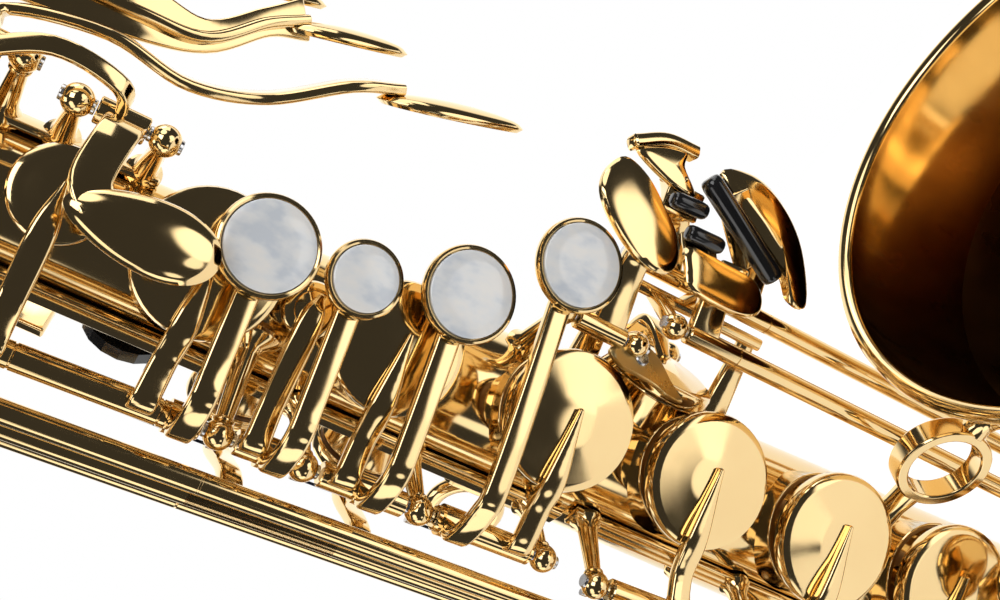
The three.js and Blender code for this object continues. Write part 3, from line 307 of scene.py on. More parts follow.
def ramp(tree, fac, stops):
    r = tree.nodes.new("ShaderNodeValToRGB")
    for i, (pos, colour) in enumerate(stops):
        e = r.color_ramp.elements[i] if i < 2 else r.color_ramp.elements.new(pos)
        e.position, e.color = pos, (*colour, 1)
    tree.links.new(fac, r.inputs["Fac"])
    return r.outputs["Color"]


def bump(tree, shader, fac, strength, distance=0.001):
    b = tree.nodes.new("ShaderNodeBump")
    b.inputs["Strength"].default_value = strength
    b.inputs["Distance"].default_value = distance
    tree.links.new(fac, b.inputs["Height"])
    tree.links.new(b.outputs["Normal"], shader.inputs["Normal"])


def metal(name, low, high, rough, scale=60):
    mat, tree, s = nodes_of(name)
    s.inputs["Metallic"].default_value = 1
    tree.links.new(ramp(tree, noise(tree, scale), [(0.35, low), (0.65, high)]), s.inputs["Base Color"])
    spread = ramp(tree, noise(tree, scale * 3), [(0.3, (rough * 0.8,) * 3), (0.7, (rough * 1.25,) * 3)])
    tree.links.new(spread, s.inputs["Roughness"])
    return mat


def pearl_material():
    mat, tree, s = nodes_of("nacre")
    streaks = noise(tree, 330, 3, (1, 0.12, 0.42))
    tree.links.new(ramp(tree, streaks, [(0.36, (0.72, 0.77, 0.84)), (0.5, (0.90, 0.92, 0.94)),
                                        (0.64, (0.97, 0.96, 0.94))]), s.inputs["Base Color"])
    s.inputs["Roughness"].default_value = 0.18
    s.inputs["Coat Weight"].default_value = 0.5
    s.inputs["Sheen Weight"].default_value = 0.1
    return mat


def plain(name, low, high, rough, scale, coat=0.0, rise=0.0):
    mat, tree, s = nodes_of(name)
    fac = noise(tree, scale, 5)
    tree.links.new(ramp(tree, fac, [(0.35, low), (0.65, high)]), s.inputs["Base Color"])
    s.inputs["Roughness"].default_value = rough
    s.inputs["Coat Weight"].default_value = coat
    if rise:
        bump(tree, s, fac, rise)
    return mat


MATERIALS = {
    "brass": (metal("brass", (0.81, 0.59, 0.29), (0.84, 0.62, 0.31), 0.085), "brass"),
    # dark brown metal for the bell's inside: painted shade, not a colour the brass has
    "inside": (metal("bell_inside", (0.16, 0.07, 0.02), (0.26, 0.12, 0.035), 0.3, 20), "brass"),
    "satin": (metal("satin_brass", (0.66, 0.47, 0.2), (0.74, 0.55, 0.26), 0.3), "brass"),
    "steel": (metal("steel", (0.55, 0.55, 0.56), (0.7, 0.7, 0.72), 0.22), "brass"),
    "blue": (metal("blued_steel", (0.02, 0.03, 0.08), (0.04, 0.06, 0.16), 0.3), "brass"),
    "nacre": (pearl_material(), "nacre"),
    "resin": (plain("black_resin", (0.008, 0.008, 0.009), (0.014, 0.014, 0.015), 0.16, 40, 0.4), "resin"),
    "leather": (plain("pad_leather", (0.35, 0.2, 0.1), (0.5, 0.32, 0.17), 0.6, 300, 0, 0.15), "cork"),
    "cork": (plain("cork", (0.42, 0.26, 0.12), (0.66, 0.46, 0.26), 0.85, 500, 0, 0.4), "cork"),
    "cane": (plain("cane", (0.66, 0.5, 0.24), (0.8, 0.66, 0.38), 0.55, 200, 0, 0.1), "cane"),
}


# ---- Pieces shared by many keys ----
def cup(shape, base, out, radius, pads):
    """A key cup with a rolled edge and a shallow dome; its leather pad goes into `pads`."""
    t = CUP_THICK
    r = radius
    shape.turned([(0, 1.2), (r - 1.0, 1.2), (r - 0.8, 0.25), (r - 0.3, 0.05), (r, 0.5), (r, t - 1.9), (r - 0.35, t - 1.1),
                  (r - 1.3, t - 0.75), (r - 2.0, t - 0.7), (r * 0.62, t - 0.35), (r * 0.4, t - 0.05), (r * 0.32, t + 0.1),
                  (0, t + 0.15)], base, out, 48)
    pads.turn = shape.turn
    pads.turned([(0, 0.05), (r * 0.3, 0.05), (r * 0.33, 0.3), (r * 0.42, 0.25), (r - 2.2, 0.1), (r - 1.25, 0.5),
                 (r - 1.2, 1.4), (0, 1.4)], base, out, 40)
    if r > 9:
        shape.turned([(0, -0.1), (r * 0.27, -0.1), (r * 0.29, 0.3), (0, 0.3)], base, out, 24)


def pearl_holder(shape, top, out, pearl):
    r = pearl + 1.25
    base = top - out * 3.4
    shape.turned([(0, 0), (r - 1.6, 0), (r - 0.6, 0.5), (r - 0.05, 1.6), (r, 2.8), (r - 0.25, 3.3), (r - 0.65, 3.45),
                  (r - 1.0, 3.3), (r - 1.12, 2.9), (r - 1.15, 2.2), (0, 2.2)], base, out, 56)


def pearl_disc(key_name, top, out, pearl):
    name = key_name.replace("key", "pearl")
    base = top - out * 0.85
    Shape().turned([(0, 0), (pearl + 0.05, 0), (pearl, 1.05), (pearl - 0.3, 1.3), (pearl * 0.6, 1.42), (0, 1.5)],
                   base, out, 56).make(name + "_look", "nacre", key_name, name, bevel=0)


def hinge_tube(shape, x, y, low, high, radius=2.6, seams=()):
    """A hinge tube: a plain barrel with a collar at each end and fine seams."""
    line = [(radius - 0.25, low), (radius, low + 0.25)]
    for z in seams:
        line += [(radius, z - 0.22), (radius - 0.22, z - 0.12), (radius - 0.22, z + 0.12), (radius, z + 0.22)]
    line += [(radius, high - 0.25), (radius - 0.25, high)]
    shape.turned([(0, low)] + line + [(0, high)], V(x, y, 0), UP, 28)


def post(shape, foot, head, screws, radius=3.0, foot_size=1.0):
    """A turned post: a flared foot, a tapered barrel, a collar and a ball head with a screw through it."""
    axis = head - foot
    length = axis.length
    neck = length - radius * 0.7
    flare = min(3.3, length * 0.4)
    wide = 3.7 * foot_size
    profile = [(0, -0.6), (wide - 0.1, -0.6), (wide, 0.3), (wide - 0.4, 0.8), (2.4 + 0.2 * foot_size, 1.6 * foot_size),
               (2.15, flare + foot_size - 1), (1.7, neck - 1.4),
               (1.75, neck - 1.2), (2.15, neck - 0.9), (2.15, neck - 0.5), (1.7, neck - 0.2)]
    profile += [(radius * math.cos(a), length + radius * math.sin(a))
                for a in (math.radians(d) for d in range(-50, 91, 10))]
    shape.turned(profile, foot, axis, 28)
    screws.turned([(0, -3.25), (1.35, -3.25), (1.45, -3.0), (1.45, 3.0), (1.35, 3.25), (0, 3.25)], head, UP, 16)


def smooth_line(knots):
    return catmull([V(*k) for k in knots], 6)


def spring(blue, start, end, sag):
    """A needle spring: a thin straight wire, a little bowed."""
    mid = (start + end) / 2 + sag
    line = catmull([start, mid, end], 8)
    blue.tube(line, [lerp(0.34, 0.2, i / (len(line) - 1)) for i in range(len(line))], 8, side=V(0.3, 0.8, 0.1))


# ---- Body, bow, bell ----
BODY_HOLES = {
    "top_vent": (227, 517, 9), "b": (225, 489, 14.3), "bis": (224, 468.5, 5.6), "a": (224, 449.5, 13.4),
    "g": (225, 410, 14.8), "f_sharp": (224, 374, 15), "f": (222, 337, 15.5), "e": (222, 300, 16), "d": (222, 262, 16.5),
    "g_sharp": (283, 384, 13), "palm_d": (243, 541, 7.4), "palm_eb": (243, 558, 7.2), "palm_f": (243, 573, 6.6),
    "high_e": (122, 564, 8), "high_f_sharp": (102, 541, 7.6), "side_c": (96, 468, 10), "side_bb": (96, 437, 11),
    "low_eb": (165, 125, 17),
}


def chimney(shape, foot, out, seat, radius):
    """A tone hole's chimney with a rolled rim and an open bore, from the foot point outwards."""
    outer, inner, length = radius - 1.2, radius - 2.4, seat
    shape.turned([(outer, 0), (outer, length - 0.9), (outer + 0.25, length - 0.5), (outer + 0.1, length - 0.1),
                  (outer - 0.4, length), (inner + 0.15, length - 0.15), (inner, length - 0.7), (inner, 0)],
                 foot, out, 44, closed=True)


class Hole:
    def __init__(self, name):
        self.azimuth, self.z, self.radius = BODY_HOLES[name]
        self.out = polar(1, self.azimuth, 0)
        self.seat = body_radius(self.z) + CHIMNEY
        self.rim = polar(self.seat, self.azimuth, self.z)
        self.shut = polar(self.seat + CLOSED, self.azimuth, self.z)


def bow_point(t):
    return V(0, BOW_RADIUS * (math.cos(t) - 1), BOW_Z - BOW_LEAD - BOW_RADIUS * math.sin(t))


BOW_END = math.pi - BELL_TILT
BELL_AXIS = V(0, -math.sin(BELL_TILT), math.cos(BELL_TILT))
BOW_MOUTH = bow_point(BOW_END) + BELL_AXIS * BOW_LEAD
BELL_BASE = BOW_MOUTH + BELL_AXIS * 0.35


def bell_point(s):
    return BELL_BASE + BELL_AXIS * s


def bell_radius(s):
    i = max(1, next((k for k, (d, _) in enumerate(BELL_PROFILE) if d >= s), len(BELL_PROFILE) - 1))
    (d0, r0), (d1, r1) = BELL_PROFILE[i - 1], BELL_PROFILE[i]
    return r0 + (r1 - r0) * (s - d0) / (d1 - d0)


BELL_PAINTED_SHADE_END = 240  # distance up the bell below which its inside is painted dark brown as shade; beyond it the inner edge stays plain bright brass
BELL_HOLES = {"low_c_sharp": (21, 34, 16.5), "low_b": (140, 92, 20), "low_bb": (140, 140, 21.5)}


class BellHole:
    def __init__(self, name):
        self.azimuth, self.s, self.radius = BELL_HOLES[name]
        self.out = polar(1, self.azimuth, 0)
        self.seat = bell_radius(self.s) + CHIMNEY

    def at(self, height, aside=0, up=0):
        return bell_point(self.s + up) + self.out * height + polar(1, self.azimuth + 90, 0) * aside


FRONT_POST = (474.4, 196)  # the one post of the upper stack rod that stands in front: height and foot azimuth


def body_pieces():
    tube = Shape()
    low, high = BOW_Z + 0.35, 600
    rows = [(body_radius(low) - 1.2, low), (body_radius(low), low)]
    rows += [(body_radius(z), z) for z in range(100, 600, 20)]
    rows += [(body_radius(high), high), (body_radius(high) - 1.2, high)]
    rows += [(body_radius(z) - 1.2, z) for z in range(580, 90, -60)]
    tube.turned(rows, V(0, 0, 0), UP, 96, closed=True)
    for name in BODY_HOLES:
        h = Hole(name)
        chimney(tube, polar(body_radius(h.z) - 5, h.azimuth, h.z), h.out, CHIMNEY + 5, h.radius)
    screws = Shape()
    for head, azimuth in body_posts():
        post(tube, polar(body_radius(head.z), azimuth, head.z), head, screws)
    front = stack.at(*UPPER_ROD, FRONT_POST[0])
    post(tube, polar(body_radius(front.z) + 0.3, FRONT_POST[1], front.z), front, screws, foot_size=1.5)
    tube.make("body_tube_look", "brass", replaces="body_tube", bevel=0.15)
    screws.make("body_post_screws", "steel", bevel=0.1)

    bow = Shape()
    steps = 40
    angles = [BOW_END * i / steps for i in range(steps + 1)]
    radii = [lerp(BOW_SMALL, BOW_LARGE, a / BOW_END) for a in angles]
    centres = [V(0, 0, BOW_Z)] + [bow_point(a) for a in angles] + [BOW_MOUTH]
    bow.tube(centres, [radii[0]] + radii + [radii[-1]], 80)
    chimney(bow, V(-(29.6 - 6), -BOW_RADIUS, 26), V(-1, 0, 0), CHIMNEY + 6, 19)
    screws = Shape()
    post(bow, V(-24.5, -13, 42), V(-41, -8, 36.6), screws)
    bow.make("bow_look", "brass", replaces="bow", bevel=0.2)
    screws.make("bow_post_screw", "steel", bevel=0.1)

    bell = Shape()
    knots = catmull([Vector((s, r)) for s, r in BELL_PROFILE], 8)
    rim_s, rim_r = BELL_PROFILE[-1]
    outer = [(p.y, p.x) for p in knots][:-1]
    bead = 1.8
    curl = [(rim_r - 0.2 + bead * math.cos(a), rim_s - bead + bead * math.sin(a))
            for a in (math.radians(d) for d in range(-80, 181, 20))]
    inner = [(r - 1.2, s) for r, s in reversed(outer)][1:]
    bell.turned(outer + curl + inner, BELL_BASE, BELL_AXIS, 128, closed=True)
    for name in BELL_HOLES:
        h = BellHole(name)
        chimney(bell, h.at(h.seat - 10), h.out, 10, h.radius)
    obj = bell.make("bell_look", "brass", replaces="bell", bevel=0)
    # Inside faces below the shade limit take the dark brown metal: painted shade deep in the bell
    obj.data.materials.append(MATERIALS["inside"][0])
    for face in obj.data.polygons:
        offset = face.center * 1000 + ORIGIN - BELL_BASE
        s = offset.dot(BELL_AXIS)
        if s < BELL_PAINTED_SHADE_END and (offset - BELL_AXIS * s).length < bell_radius(s) - 0.6:
            face.material_index = 1


def ferrule(name, centre, axis, radius, height):
    inner, outer = radius + 0.35, radius + 2.4
    profile = [(inner, 0), (outer - 0.9, 0), (outer - 0.2, 0.5), (outer, 1.2), (outer - 0.2, 2.0), (outer - 0.9, 2.5),
               (outer - 0.9, height - 2.5), (outer - 0.2, height - 2.0), (outer, height - 1.2),
               (outer - 0.2, height - 0.5), (outer - 0.9, height), (inner, height)]
    Shape().turned(profile, centre, axis, 96, closed=True).make(name + "_look", "brass", replaces=name, bevel=0.1)


# ---- Keys ----
STACK_KEYS = {
    "b_key": (UPPER_ROD, 478, 539.4, {"b": 490, "top_vent": 517}, (5.1, 36, 482, 8.5)),
    "bis_key": (UPPER_ROD, 460.6, 471, {"bis": 468.5}, (6.8, 36.5, 463.6, 6.3)),
    "a_key": (UPPER_ROD, 435, 453.4, {"a": 449.8}, (12.5, 37, 443.4, 8.5)),
    "g_key": (UPPER_ROD, 405, 428, {"g": 410}, (27.2, 38.5, 424, 8.5)),
    "f_sharp_key": (LOWER_ROD, 350.4, 386, {"f_sharp": 372}, None),
    "f_key": (LOWER_ROD, 287.8, 343, {"f": 337}, (4, 45, 291, 8.5)),
    "e_key": (LOWER_ROD, 262, 280.2, {"e": 277.4}, (4, 46, 267, 8.5)),
    "d_key": (LOWER_ROD, 238, 254.8, {"d": 252.5}, (4, 47, 243, 8.5)),
}


def stack_key(name, rod, low, high, holes, pearl):
    at = stack.at
    t, out = rod
    axis = at(t, out, 0)
    key, pads = Shape(), Shape()
    hinge_tube(key, axis.x, axis.y, low, high, seams=[z - 4 for z in holes.values()])
    for hole, tube_z in holes.items():
        h = Hole(hole)
        top = h.seat + CLOSED + CUP_THICK + 0.6
        key.swing((axis.x, axis.y), -OPEN_SWING["stack"])
        cup(key, h.shut, h.out, h.radius, pads)
        key.bar([at(t, out, tube_z), at(t + 1, out + 5, tube_z), at(t + 9, top - 2, (tube_z + h.z) / 2),
                 at(-h.radius + 3, top, h.z), at(3, top, h.z)], [5, 5, 4.8, 4.8, 0.9], [2.4, 2.4, 2.6, 3, 2.2])
        key.still()
    if pearl:
        across, height, z, radius = pearl
        under = height - 3.4 - 0.6
        key.bar([at(t + 0.5, out, z), at(t - 2.6, out + 5, z), at(t + 3, min(under, out + 13), z),
                 at(t + 12, under, z), at(across, under, z)], 4.8, 2.6)
        key.turned([(3.3, 0), (3.3, 5.2)], axis + V(0, 0, z - 2.6), UP, 24)
        pearl_holder(key, at(across, height, z), stack.out, radius)
        pearl_disc(name, at(across, height, z), stack.out, radius)
    key.make(name + "_look", "brass", name, name)
    pads.make(name + "_pads", "leather", name, bevel=0)


def rib(name, azimuth, low, high, width, heads, lean=0):
    side = polar(1, azimuth + 90, 0)
    shape, screws = Shape(), Shape()
    shape.bar([polar(body_radius(z) + 1.2, azimuth, z) for z in (low, (low + high) / 2, high)], width, 1.7, side)
    for head in heads:
        post(shape, polar(body_radius(head.z) + 1.4, azimuth, head.z + lean), head, screws)
    shape.make(name + "_look", "brass", replaces=name, bevel=0.15)
    screws.make(name + "_screws", "steel", bevel=0.1)


def front_f():
    x, y = -9, -31.5
    at = stack.at
    key = Shape()
    hinge_tube(key, x, y, 508.4, 517.6)
    outline = [(13.5 * math.cos(a), 6.4 * math.sin(a) * (1 + 0.25 * math.cos(a)))
               for a in (2 * math.pi * k / 16 for k in range(16))]
    key.plate(outline, 1.9, at(-3, 40, 503), V(0, 0, -1), stack.out, dome=1.5, rim=0.8)
    key.bar([V(x, y, 512), at(12, 36, 513), at(2, 40, 514), at(-3, 41.3, 511)], [8, 7, 7, 6], 2.2)
    key.bar([V(x, y, 513.5), at(20.5, 33, 515.5), at(21.5, 34, 528), at(15, 32, 540)], 3.4, 2.2, stack.across)
    key.make("front_f_look", "brass", "front_f_key", "front_f_key")


PALM_KEYS = {
    "palm_d_key": (535.4, 545.6, "palm_d", [(8, -33, 538), (9, -37, 521), (11, -34, 505), (17, -36, 490),
                                            (21, -45, 476), (25, -48, 466)], 17),
    "palm_eb_key": (552.4, 562.6, "palm_eb", [(10, -31, 556), (19, -37, 548), (22, -38, 520), (26, -38, 505),
                                              (33, -44, 495), (37, -47, 488)], 14),
    "palm_f_key": (569.4, 575.6, "palm_f", [(12, -28, 573), (26, -29, 566), (31, -31, 545), (35, -33, 525),
                                            (41, -40, 514), (45, -45, 507)], 14),
}


def palm_key(name, low, high, hole, lane, half):
    x, y = 2, -29
    h = Hole(hole)
    points = [V(*p) for p in lane]
    key, pads = Shape(), Shape()
    hinge_tube(key, x, y, low, high)
    cup(key, h.shut, h.out, h.radius, pads)
    top = h.seat + CLOSED + CUP_THICK
    key.bar([V(x, y, h.z), polar(top + 3.5, h.azimuth + 14, h.z), polar(top - 0.4, h.azimuth, h.z)], [5, 5.5, 2], 2.4)
    key.bar([V(x, y, points[0].z)] + points, [6, 6, 6, 7, 8, 8, 7], 2.3, V(0.9, 0.35, 0))
    if name != "palm_d_key":
        key.bar(points[1:], [15, 12, 7, 6, 9], 1.8, V(0.569, -0.720, 0.398))
    normal = V(0.35, -0.9, 0.25).normalized()
    leaf = [(half * math.cos(a) * (1 if math.cos(a) > 0 else 1), 6.5 * math.sin(a) * (1 - 0.28 * math.cos(a)))
            for a in (2 * math.pi * k / 16 for k in range(16))]
    key.plate(leaf, 1.8, points[-1] + V(0.5, 0.6, -half + 4), V(0.1, 0.05, -1), normal, dome=1.6, rim=0.8)
    key.make(name + "_look", "brass", name, name)
    pads.make(name + "_pad", "leather", name, bevel=0)


SIDE_RADIUS = 41
SIDE_KEYS = {"side_c_key": (159, 372, 548, "side_c", 20), "side_bb_key": (149, 346, 548, "side_bb", 20),
             "high_e_key": (139, 320, 573, "high_e", 20), "high_f_sharp_key": (129, 294, 550, "high_f_sharp", 16)}


def side_key(name, azimuth, touch_z, high, hole, length):
    h = Hole(hole)
    low = touch_z - length / 2
    top = h.seat + CLOSED + CUP_THICK
    turn = math.copysign(9, h.azimuth - azimuth)
    key, pads = Shape(), Shape()
    rod = polar(SIDE_RADIUS, azimuth, 0)
    hinge_tube(key, rod.x, rod.y, low, high, 2.2, seams=[low + length + 3, 474, h.z + 6])
    key.bar([polar(SIDE_RADIUS, azimuth, h.z), polar(SIDE_RADIUS - 6.5, azimuth + turn, h.z),
             polar(top + 5, (azimuth + turn + 2 * h.azimuth) / 3, h.z), polar(top - 0.6, h.azimuth, h.z)],
            [5, 5, 5.5, 2], 2.4)
    cup(key, h.shut, h.out, h.radius, pads)
    touch = polar(SIDE_RADIUS + 8, azimuth + 16, touch_z)
    facing = polar(1, azimuth + 24, 0)
    a, b = length / 2, 5.5
    outline = [(a * c[0], b * c[1]) for c in ((1, 0.5), (0.75, 1), (0, 1), (-0.75, 1), (-1, 0.5), (-1, -0.5), (-0.75, -1),
                                               (0, -1), (0.75, -1), (1, -0.5))]
    key.plate(outline, 1.6, touch, UP, facing, dome=0.9, rim=0.7)
    key.bar([polar(SIDE_RADIUS, azimuth, touch_z), polar(SIDE_RADIUS + 6, azimuth + 6, touch_z), touch + facing * 0.8],
            [9, 8, 7], 2.2)
    key.make(name + "_look", "brass", name, name)
    pads.make(name + "_pad", "leather", name, bevel=0)


TABLE_OUT = 41
TABLE_KEYS = {"g_sharp_lever": ((-3.6, -32.6), (403, 415)), "c_sharp_key": ((22, -40), (116, 396)),
              "low_b_key": ((2, -38), (150, 388)), "low_bb_key": ((13, -44), (196, 380))}
G_SHARP_ROD, G_SHARP_TUBE = (26, -19), (376, 392)
TOUCHES = {
    "g_sharp": [(38.5, 424.5), (44, 424.5), (48.5, 421), (47, 415), (41.5, 408.5), (36.5, 404), (31, 403), (27.5, 406.5),
                (28.5, 413), (33, 420)],
    "c_sharp": [(51.5, 418.5), (55, 414), (57, 407), (53, 406.5), (48, 402.5), (47.8, 409)],
    "low_b": [(27.5, 398), (31.5, 400.6), (36.6, 401.2), (36.9, 391), (36.5, 383), (33, 380), (29, 381), (27, 387)],
    "low_bb": [(56.8, 397), (60.5, 388), (57, 379), (49.4, 372), (37.5, 368), (36, 372.5), (41.3, 376.2), (47.5, 385.5)],
}


def table_plate(key, name, thick, dome):
    outline = [(z, -t) for t, z in TOUCHES[name]]
    key.plate(outline, thick, table.at(0, TABLE_OUT, 0), UP, table.out, dome=dome, rim=0.6, smooth=5)


def table_arm(key, name, z, target):
    x, y = TABLE_KEYS[name][0]
    end = table.at(*target)
    mid = V((x + end.x) / 2 + 5, (y + end.y) / 2 - 3, (z + target[2]) / 2)
    key.bar([V(x, y, z), mid, end], [8, 6.4, 7], 3)


def bell_key(key, pads, name, hole, via, aside, swing):
    h = BellHole(hole)
    (x, y), (low, _) = TABLE_KEYS[name]
    base = h.seat + CLOSED
    back = base + CUP_THICK + 0.4
    start = low + 5
    key.swing((x, y), -swing)
    cup(key, h.at(base), h.out, h.radius, pads)
    points = [V(x, y, start)] + [V(px, py, start) for px, py in via]
    points += [h.at(back + 1, aside * (h.radius + 1)), h.at(back, aside * (h.radius - 4)), h.at(back, 0)]
    key.bar(points, [8.5] + [8] * len(via) + [8, 7, 2], 3)
    key.still()


# Where each roller's cradle leaves its plate and where it ends under the roller, as [across, z], and its width.
CRADLES = {"c_sharp_key": ((49.5, 404), (43.8, 404), 9, True), "low_b_key": ((36, 397), (40.6, 397.6), 9, True),
           "low_bb_key": ((50, 385), (44.6, 390.5), 17, False)}


def table_keys():
    specs = {
        "c_sharp_key": ("c_sharp", 2.1, 0.3, None, ("low_c_sharp", [(32, -50)], 1, 0)),
        "low_b_key": ("low_b", 2.1, 0.3, (384, (37, TABLE_OUT + 0.6, 388)), ("low_b", [(-10, -42)], -1, OPEN_SWING["lowB"])),
        "low_bb_key": ("low_bb", 1.9, 1.5, (374, (50, TABLE_OUT + 0.6, 378)),
                       ("low_bb", [(-6, -48)], -1, OPEN_SWING["lowBb"])),
    }
    for name, (touch, thick, dome, arm, bell) in specs.items():
        (x, y), (low, high) = TABLE_KEYS[name]
        key, pads = Shape(), Shape()
        hinge_tube(key, x, y, low, high, 2.4, seams=[low + 12, high - 14])
        table_plate(key, touch, thick, dome)
        if arm:
            table_arm(key, name, *arm)
        else:
            key.bar([V(x, y, 390), V(26, -53, 396), table.at(50, TABLE_OUT + 0.6, 408)], [7, 7, 6], 2.8)
            key.bar([table.at(52.6, TABLE_OUT + 1.2, 420), table.at(56.8, TABLE_OUT + 1.1, 412.6),
                     table.at(58, TABLE_OUT + 0.6, 404.5)], 4, 3, table.out)
        (t0, z0), (t1, z1), width, steel_pin = CRADLES[name]
        key.bar([table.at(t0, TABLE_OUT + 0.5, z0), table.at((t0 + t1) / 2, TABLE_OUT - 0.4, (z0 + z1) / 2),
                 table.at(t1, TABLE_OUT - 0.9, z1)], width, 1.2, UP if steel_pin else V(0.1, -0.3, 1))
        bell_key(key, pads, name, *bell)
        key.make(name + "_look", "brass", name, name)
        pads.make(name + "_pad", "leather", name, bevel=0)
    lever = Shape()
    (x, y), (low, high) = TABLE_KEYS["g_sharp_lever"]
    hinge_tube(lever, x, y, low, high, 2.4)
    table_plate(lever, "g_sharp", 2.2, 0.6)
    table_arm(lever, "g_sharp_lever", 407.5, (35, TABLE_OUT + 0.6, 409))
    lever.make("g_sharp_lever_look", "brass", "g_sharp_lever", "g_sharp_lever")
    key, pads = Shape(), Shape()
    h = Hole("g_sharp")
    hinge_tube(key, *G_SHARP_ROD, *G_SHARP_TUBE, 2.4)
    cup(key, h.shut, h.out, h.radius, pads)
    top = h.seat + CLOSED + CUP_THICK
    key.bar([V(*G_SHARP_ROD, h.z), V(22, -27, h.z), polar(top + 0.4, h.azimuth + 4, h.z)], [6, 6, 2], 2.4)
    key.make("g_sharp_key_look", "brass", "g_sharp_key", "g_sharp_key")
    pads.make("g_sharp_pad", "leather", "g_sharp_key", bevel=0)


ROLLERS = {"c_sharp_roller": ((44.6, 408.3), (45.3, 399.2), 1.9), "low_b_roller": ((39.1, 402.8), (39.6, 393.5), 1.9),
           "low_bb_roller": ((53.4, 400.5), (38.5, 378.4), 2.5)}


def roller(name, start, end, radius):
    a, b = (table.at(t, TABLE_OUT + 2.2, z) for t, z in (start, end))
    n = (b - a).length
    r = radius
    Shape().turned([(0, 0), (r * 0.55, 0), (r * 0.8, 0.25), (r * 0.93, 0.8), (r, 1.8), (r, n - 1.8), (r * 0.93, n - 0.8),
                    (r * 0.8, n - 0.25), (r * 0.55, n), (0, n)], a, b - a, 32).make(name + "_look", "resin", name, name,
                                                                                    bevel=0)


PINKY_ROD, LOW_EB_TUBE, LOW_C_TUBE = (-41, -8), (108.4, 190), (40, 101.6)


def pinky_keys():
    x, y = PINKY_ROD
    h = Hole("low_eb")
    top = h.seat + CLOSED + CUP_THICK
    square = [(8, 4), (5, 9), (-5, 9), (-8, 4), (-8, -4), (-5, -9), (5, -9), (8, -4)]
    eb, pads = Shape(), Shape()
    hinge_tube(eb, x, y, *LOW_EB_TUBE, seams=[165])
    cup(eb, h.shut, h.out, h.radius, pads)
    eb.bar([V(x, y, 125), V(x - 2, y + 4, 125), polar(top + 0.4, h.azimuth, 125)], [8, 7, 2], 2.8)
    eb.plate(square, 1.9, V(-46, -26, 176), UP, V(-0.8, -0.6, 0), dome=0.8, rim=0.7)
    eb.bar([V(x, y, 176), V(-46, -14, 176), V(-47, -26.5, 176)], 9, 2.6)
    eb.make("low_eb_look", "brass", "low_eb_key", "low_eb_key")
    pads.make("low_eb_pad", "leather", "low_eb_key", bevel=0)
    c, pads = Shape(), Shape()
    base = V(-(29.6 + CHIMNEY + CLOSED), -BOW_RADIUS, 26)
    back = base.x - CUP_THICK - 0.4
    hinge_tube(c, x, y, *LOW_C_TUBE, seams=[60, 90])
    c.swing((x, y), -OPEN_SWING["lowC"])
    cup(c, base, V(-1, 0, 0), 19, pads)
    c.bar([V(x, y, 46), V(x - 2, -20, 38), V(back, -32, 26), V(back, -BOW_RADIUS, 26)], [8, 8, 7, 2], 2.8)
    c.still()
    c.bar([V(x, y, 96), V(-50, -14, 104), V(-52, -22, 128), V(-50, -26, 146)], 8, 2.8, V(0.5, -0.8, 0))
    c.plate(square, 1.9, V(-48, -27, 152), UP, V(-0.8, -0.6, 0), dome=0.8, rim=0.7)
    c.make("low_c_look", "brass", "low_c_key", "low_c_key")
    pads.make("low_c_pad", "leather", "low_c_key", bevel=0)


def body_posts():
    """Heads of the posts that stand on the body, each with the azimuth of its foot."""
    def ends(rod, span, azimuths):
        return [(V(*rod, span[0] - POST_PITCH), azimuths[0]), (V(*rod, span[1] + POST_PITCH), azimuths[1])]
    heads = []
    feet = {"side_c_key": (150, 150), "side_bb_key": (149, 146), "high_e_key": (139, 139), "high_f_sharp_key": (129, 142)}
    for name, (azimuth, touch_z, high, _, length) in SIDE_KEYS.items():
        rod = polar(SIDE_RADIUS, azimuth, 0)
        heads += ends((rod.x, rod.y), (touch_z - length / 2, high), feet[name])
    for name in ("c_sharp_key", "low_b_key", "low_bb_key"):
        rod, span = TABLE_KEYS[name]
        heads.append((V(*rod, span[0] - POST_PITCH), math.degrees(math.atan2(rod[1], rod[0]))))
    heads += ends(G_SHARP_ROD, G_SHARP_TUBE, (324, 324)) + ends(*TABLE_KEYS["g_sharp_lever"], (278, 278))
    heads += [(V(*PINKY_ROD, LOW_EB_TUBE[0] - POST_PITCH), 191), (V(*PINKY_ROD, LOW_EB_TUBE[1] + POST_PITCH), 191)]
    return heads


def table_bracket():
    shape, screws = Shape(), Shape()

    def spine(z):
        return polar(40, 297, z)
    shape.bar([spine(403), spine(382), spine(361)], 7, 3, polar(1, 27, 0))
    for z in (401, 363):
        shape.bar([polar(body_radius(z) + 0.6, 297, z), spine(z)], [7, 4], 3)
    for name in ("c_sharp_key", "low_b_key", "low_bb_key"):
        rod, span = TABLE_KEYS[name]
        head = V(*rod, span[1] + POST_PITCH)
        shape.bar([spine(head.z), head], 4, 3)
        shape.ball(head)
        screws.turned([(0, -3.2), (1.4, -3.2), (1.4, 3.2), (0, 3.2)], head, UP, 16)
    shape.make("table_bracket_look", "brass", replaces="table_bracket", bevel=0.15)
    screws.make("table_bracket_screws", "steel", bevel=0.1)


# ---- Neck, mouthpiece and fittings ----
NECK = catmull([V(0, 0, 606), V(0, 0.5, 626), V(0, 7, 650), V(0, 24, 668), V(0, 50, 678), V(0, 84, 680),
                V(0, 118, 675), V(0, 150, 666)], 12)
NECK_LENGTHS = [0]
for a, b in zip(NECK, NECK[1:]):
    NECK_LENGTHS.append(NECK_LENGTHS[-1] + (b - a).length)


def neck_at(t):
    """The point and direction a fraction t along the neck."""
    want = t * NECK_LENGTHS[-1]
    i = min(len(NECK) - 2, next((k for k in range(len(NECK) - 1) if NECK_LENGTHS[k + 1] >= want), len(NECK) - 2))
    step = NECK_LENGTHS[i + 1] - NECK_LENGTHS[i]
    return lerp(NECK[i], NECK[i + 1], (want - NECK_LENGTHS[i]) / step), (NECK[i + 1] - NECK[i]).normalized()


def neck_radius(t):
    return lerp(12.2, 7, min(t / 0.85, 1))


PIVOT = neck_at(0.36)[0] + V(0, 0, 15)


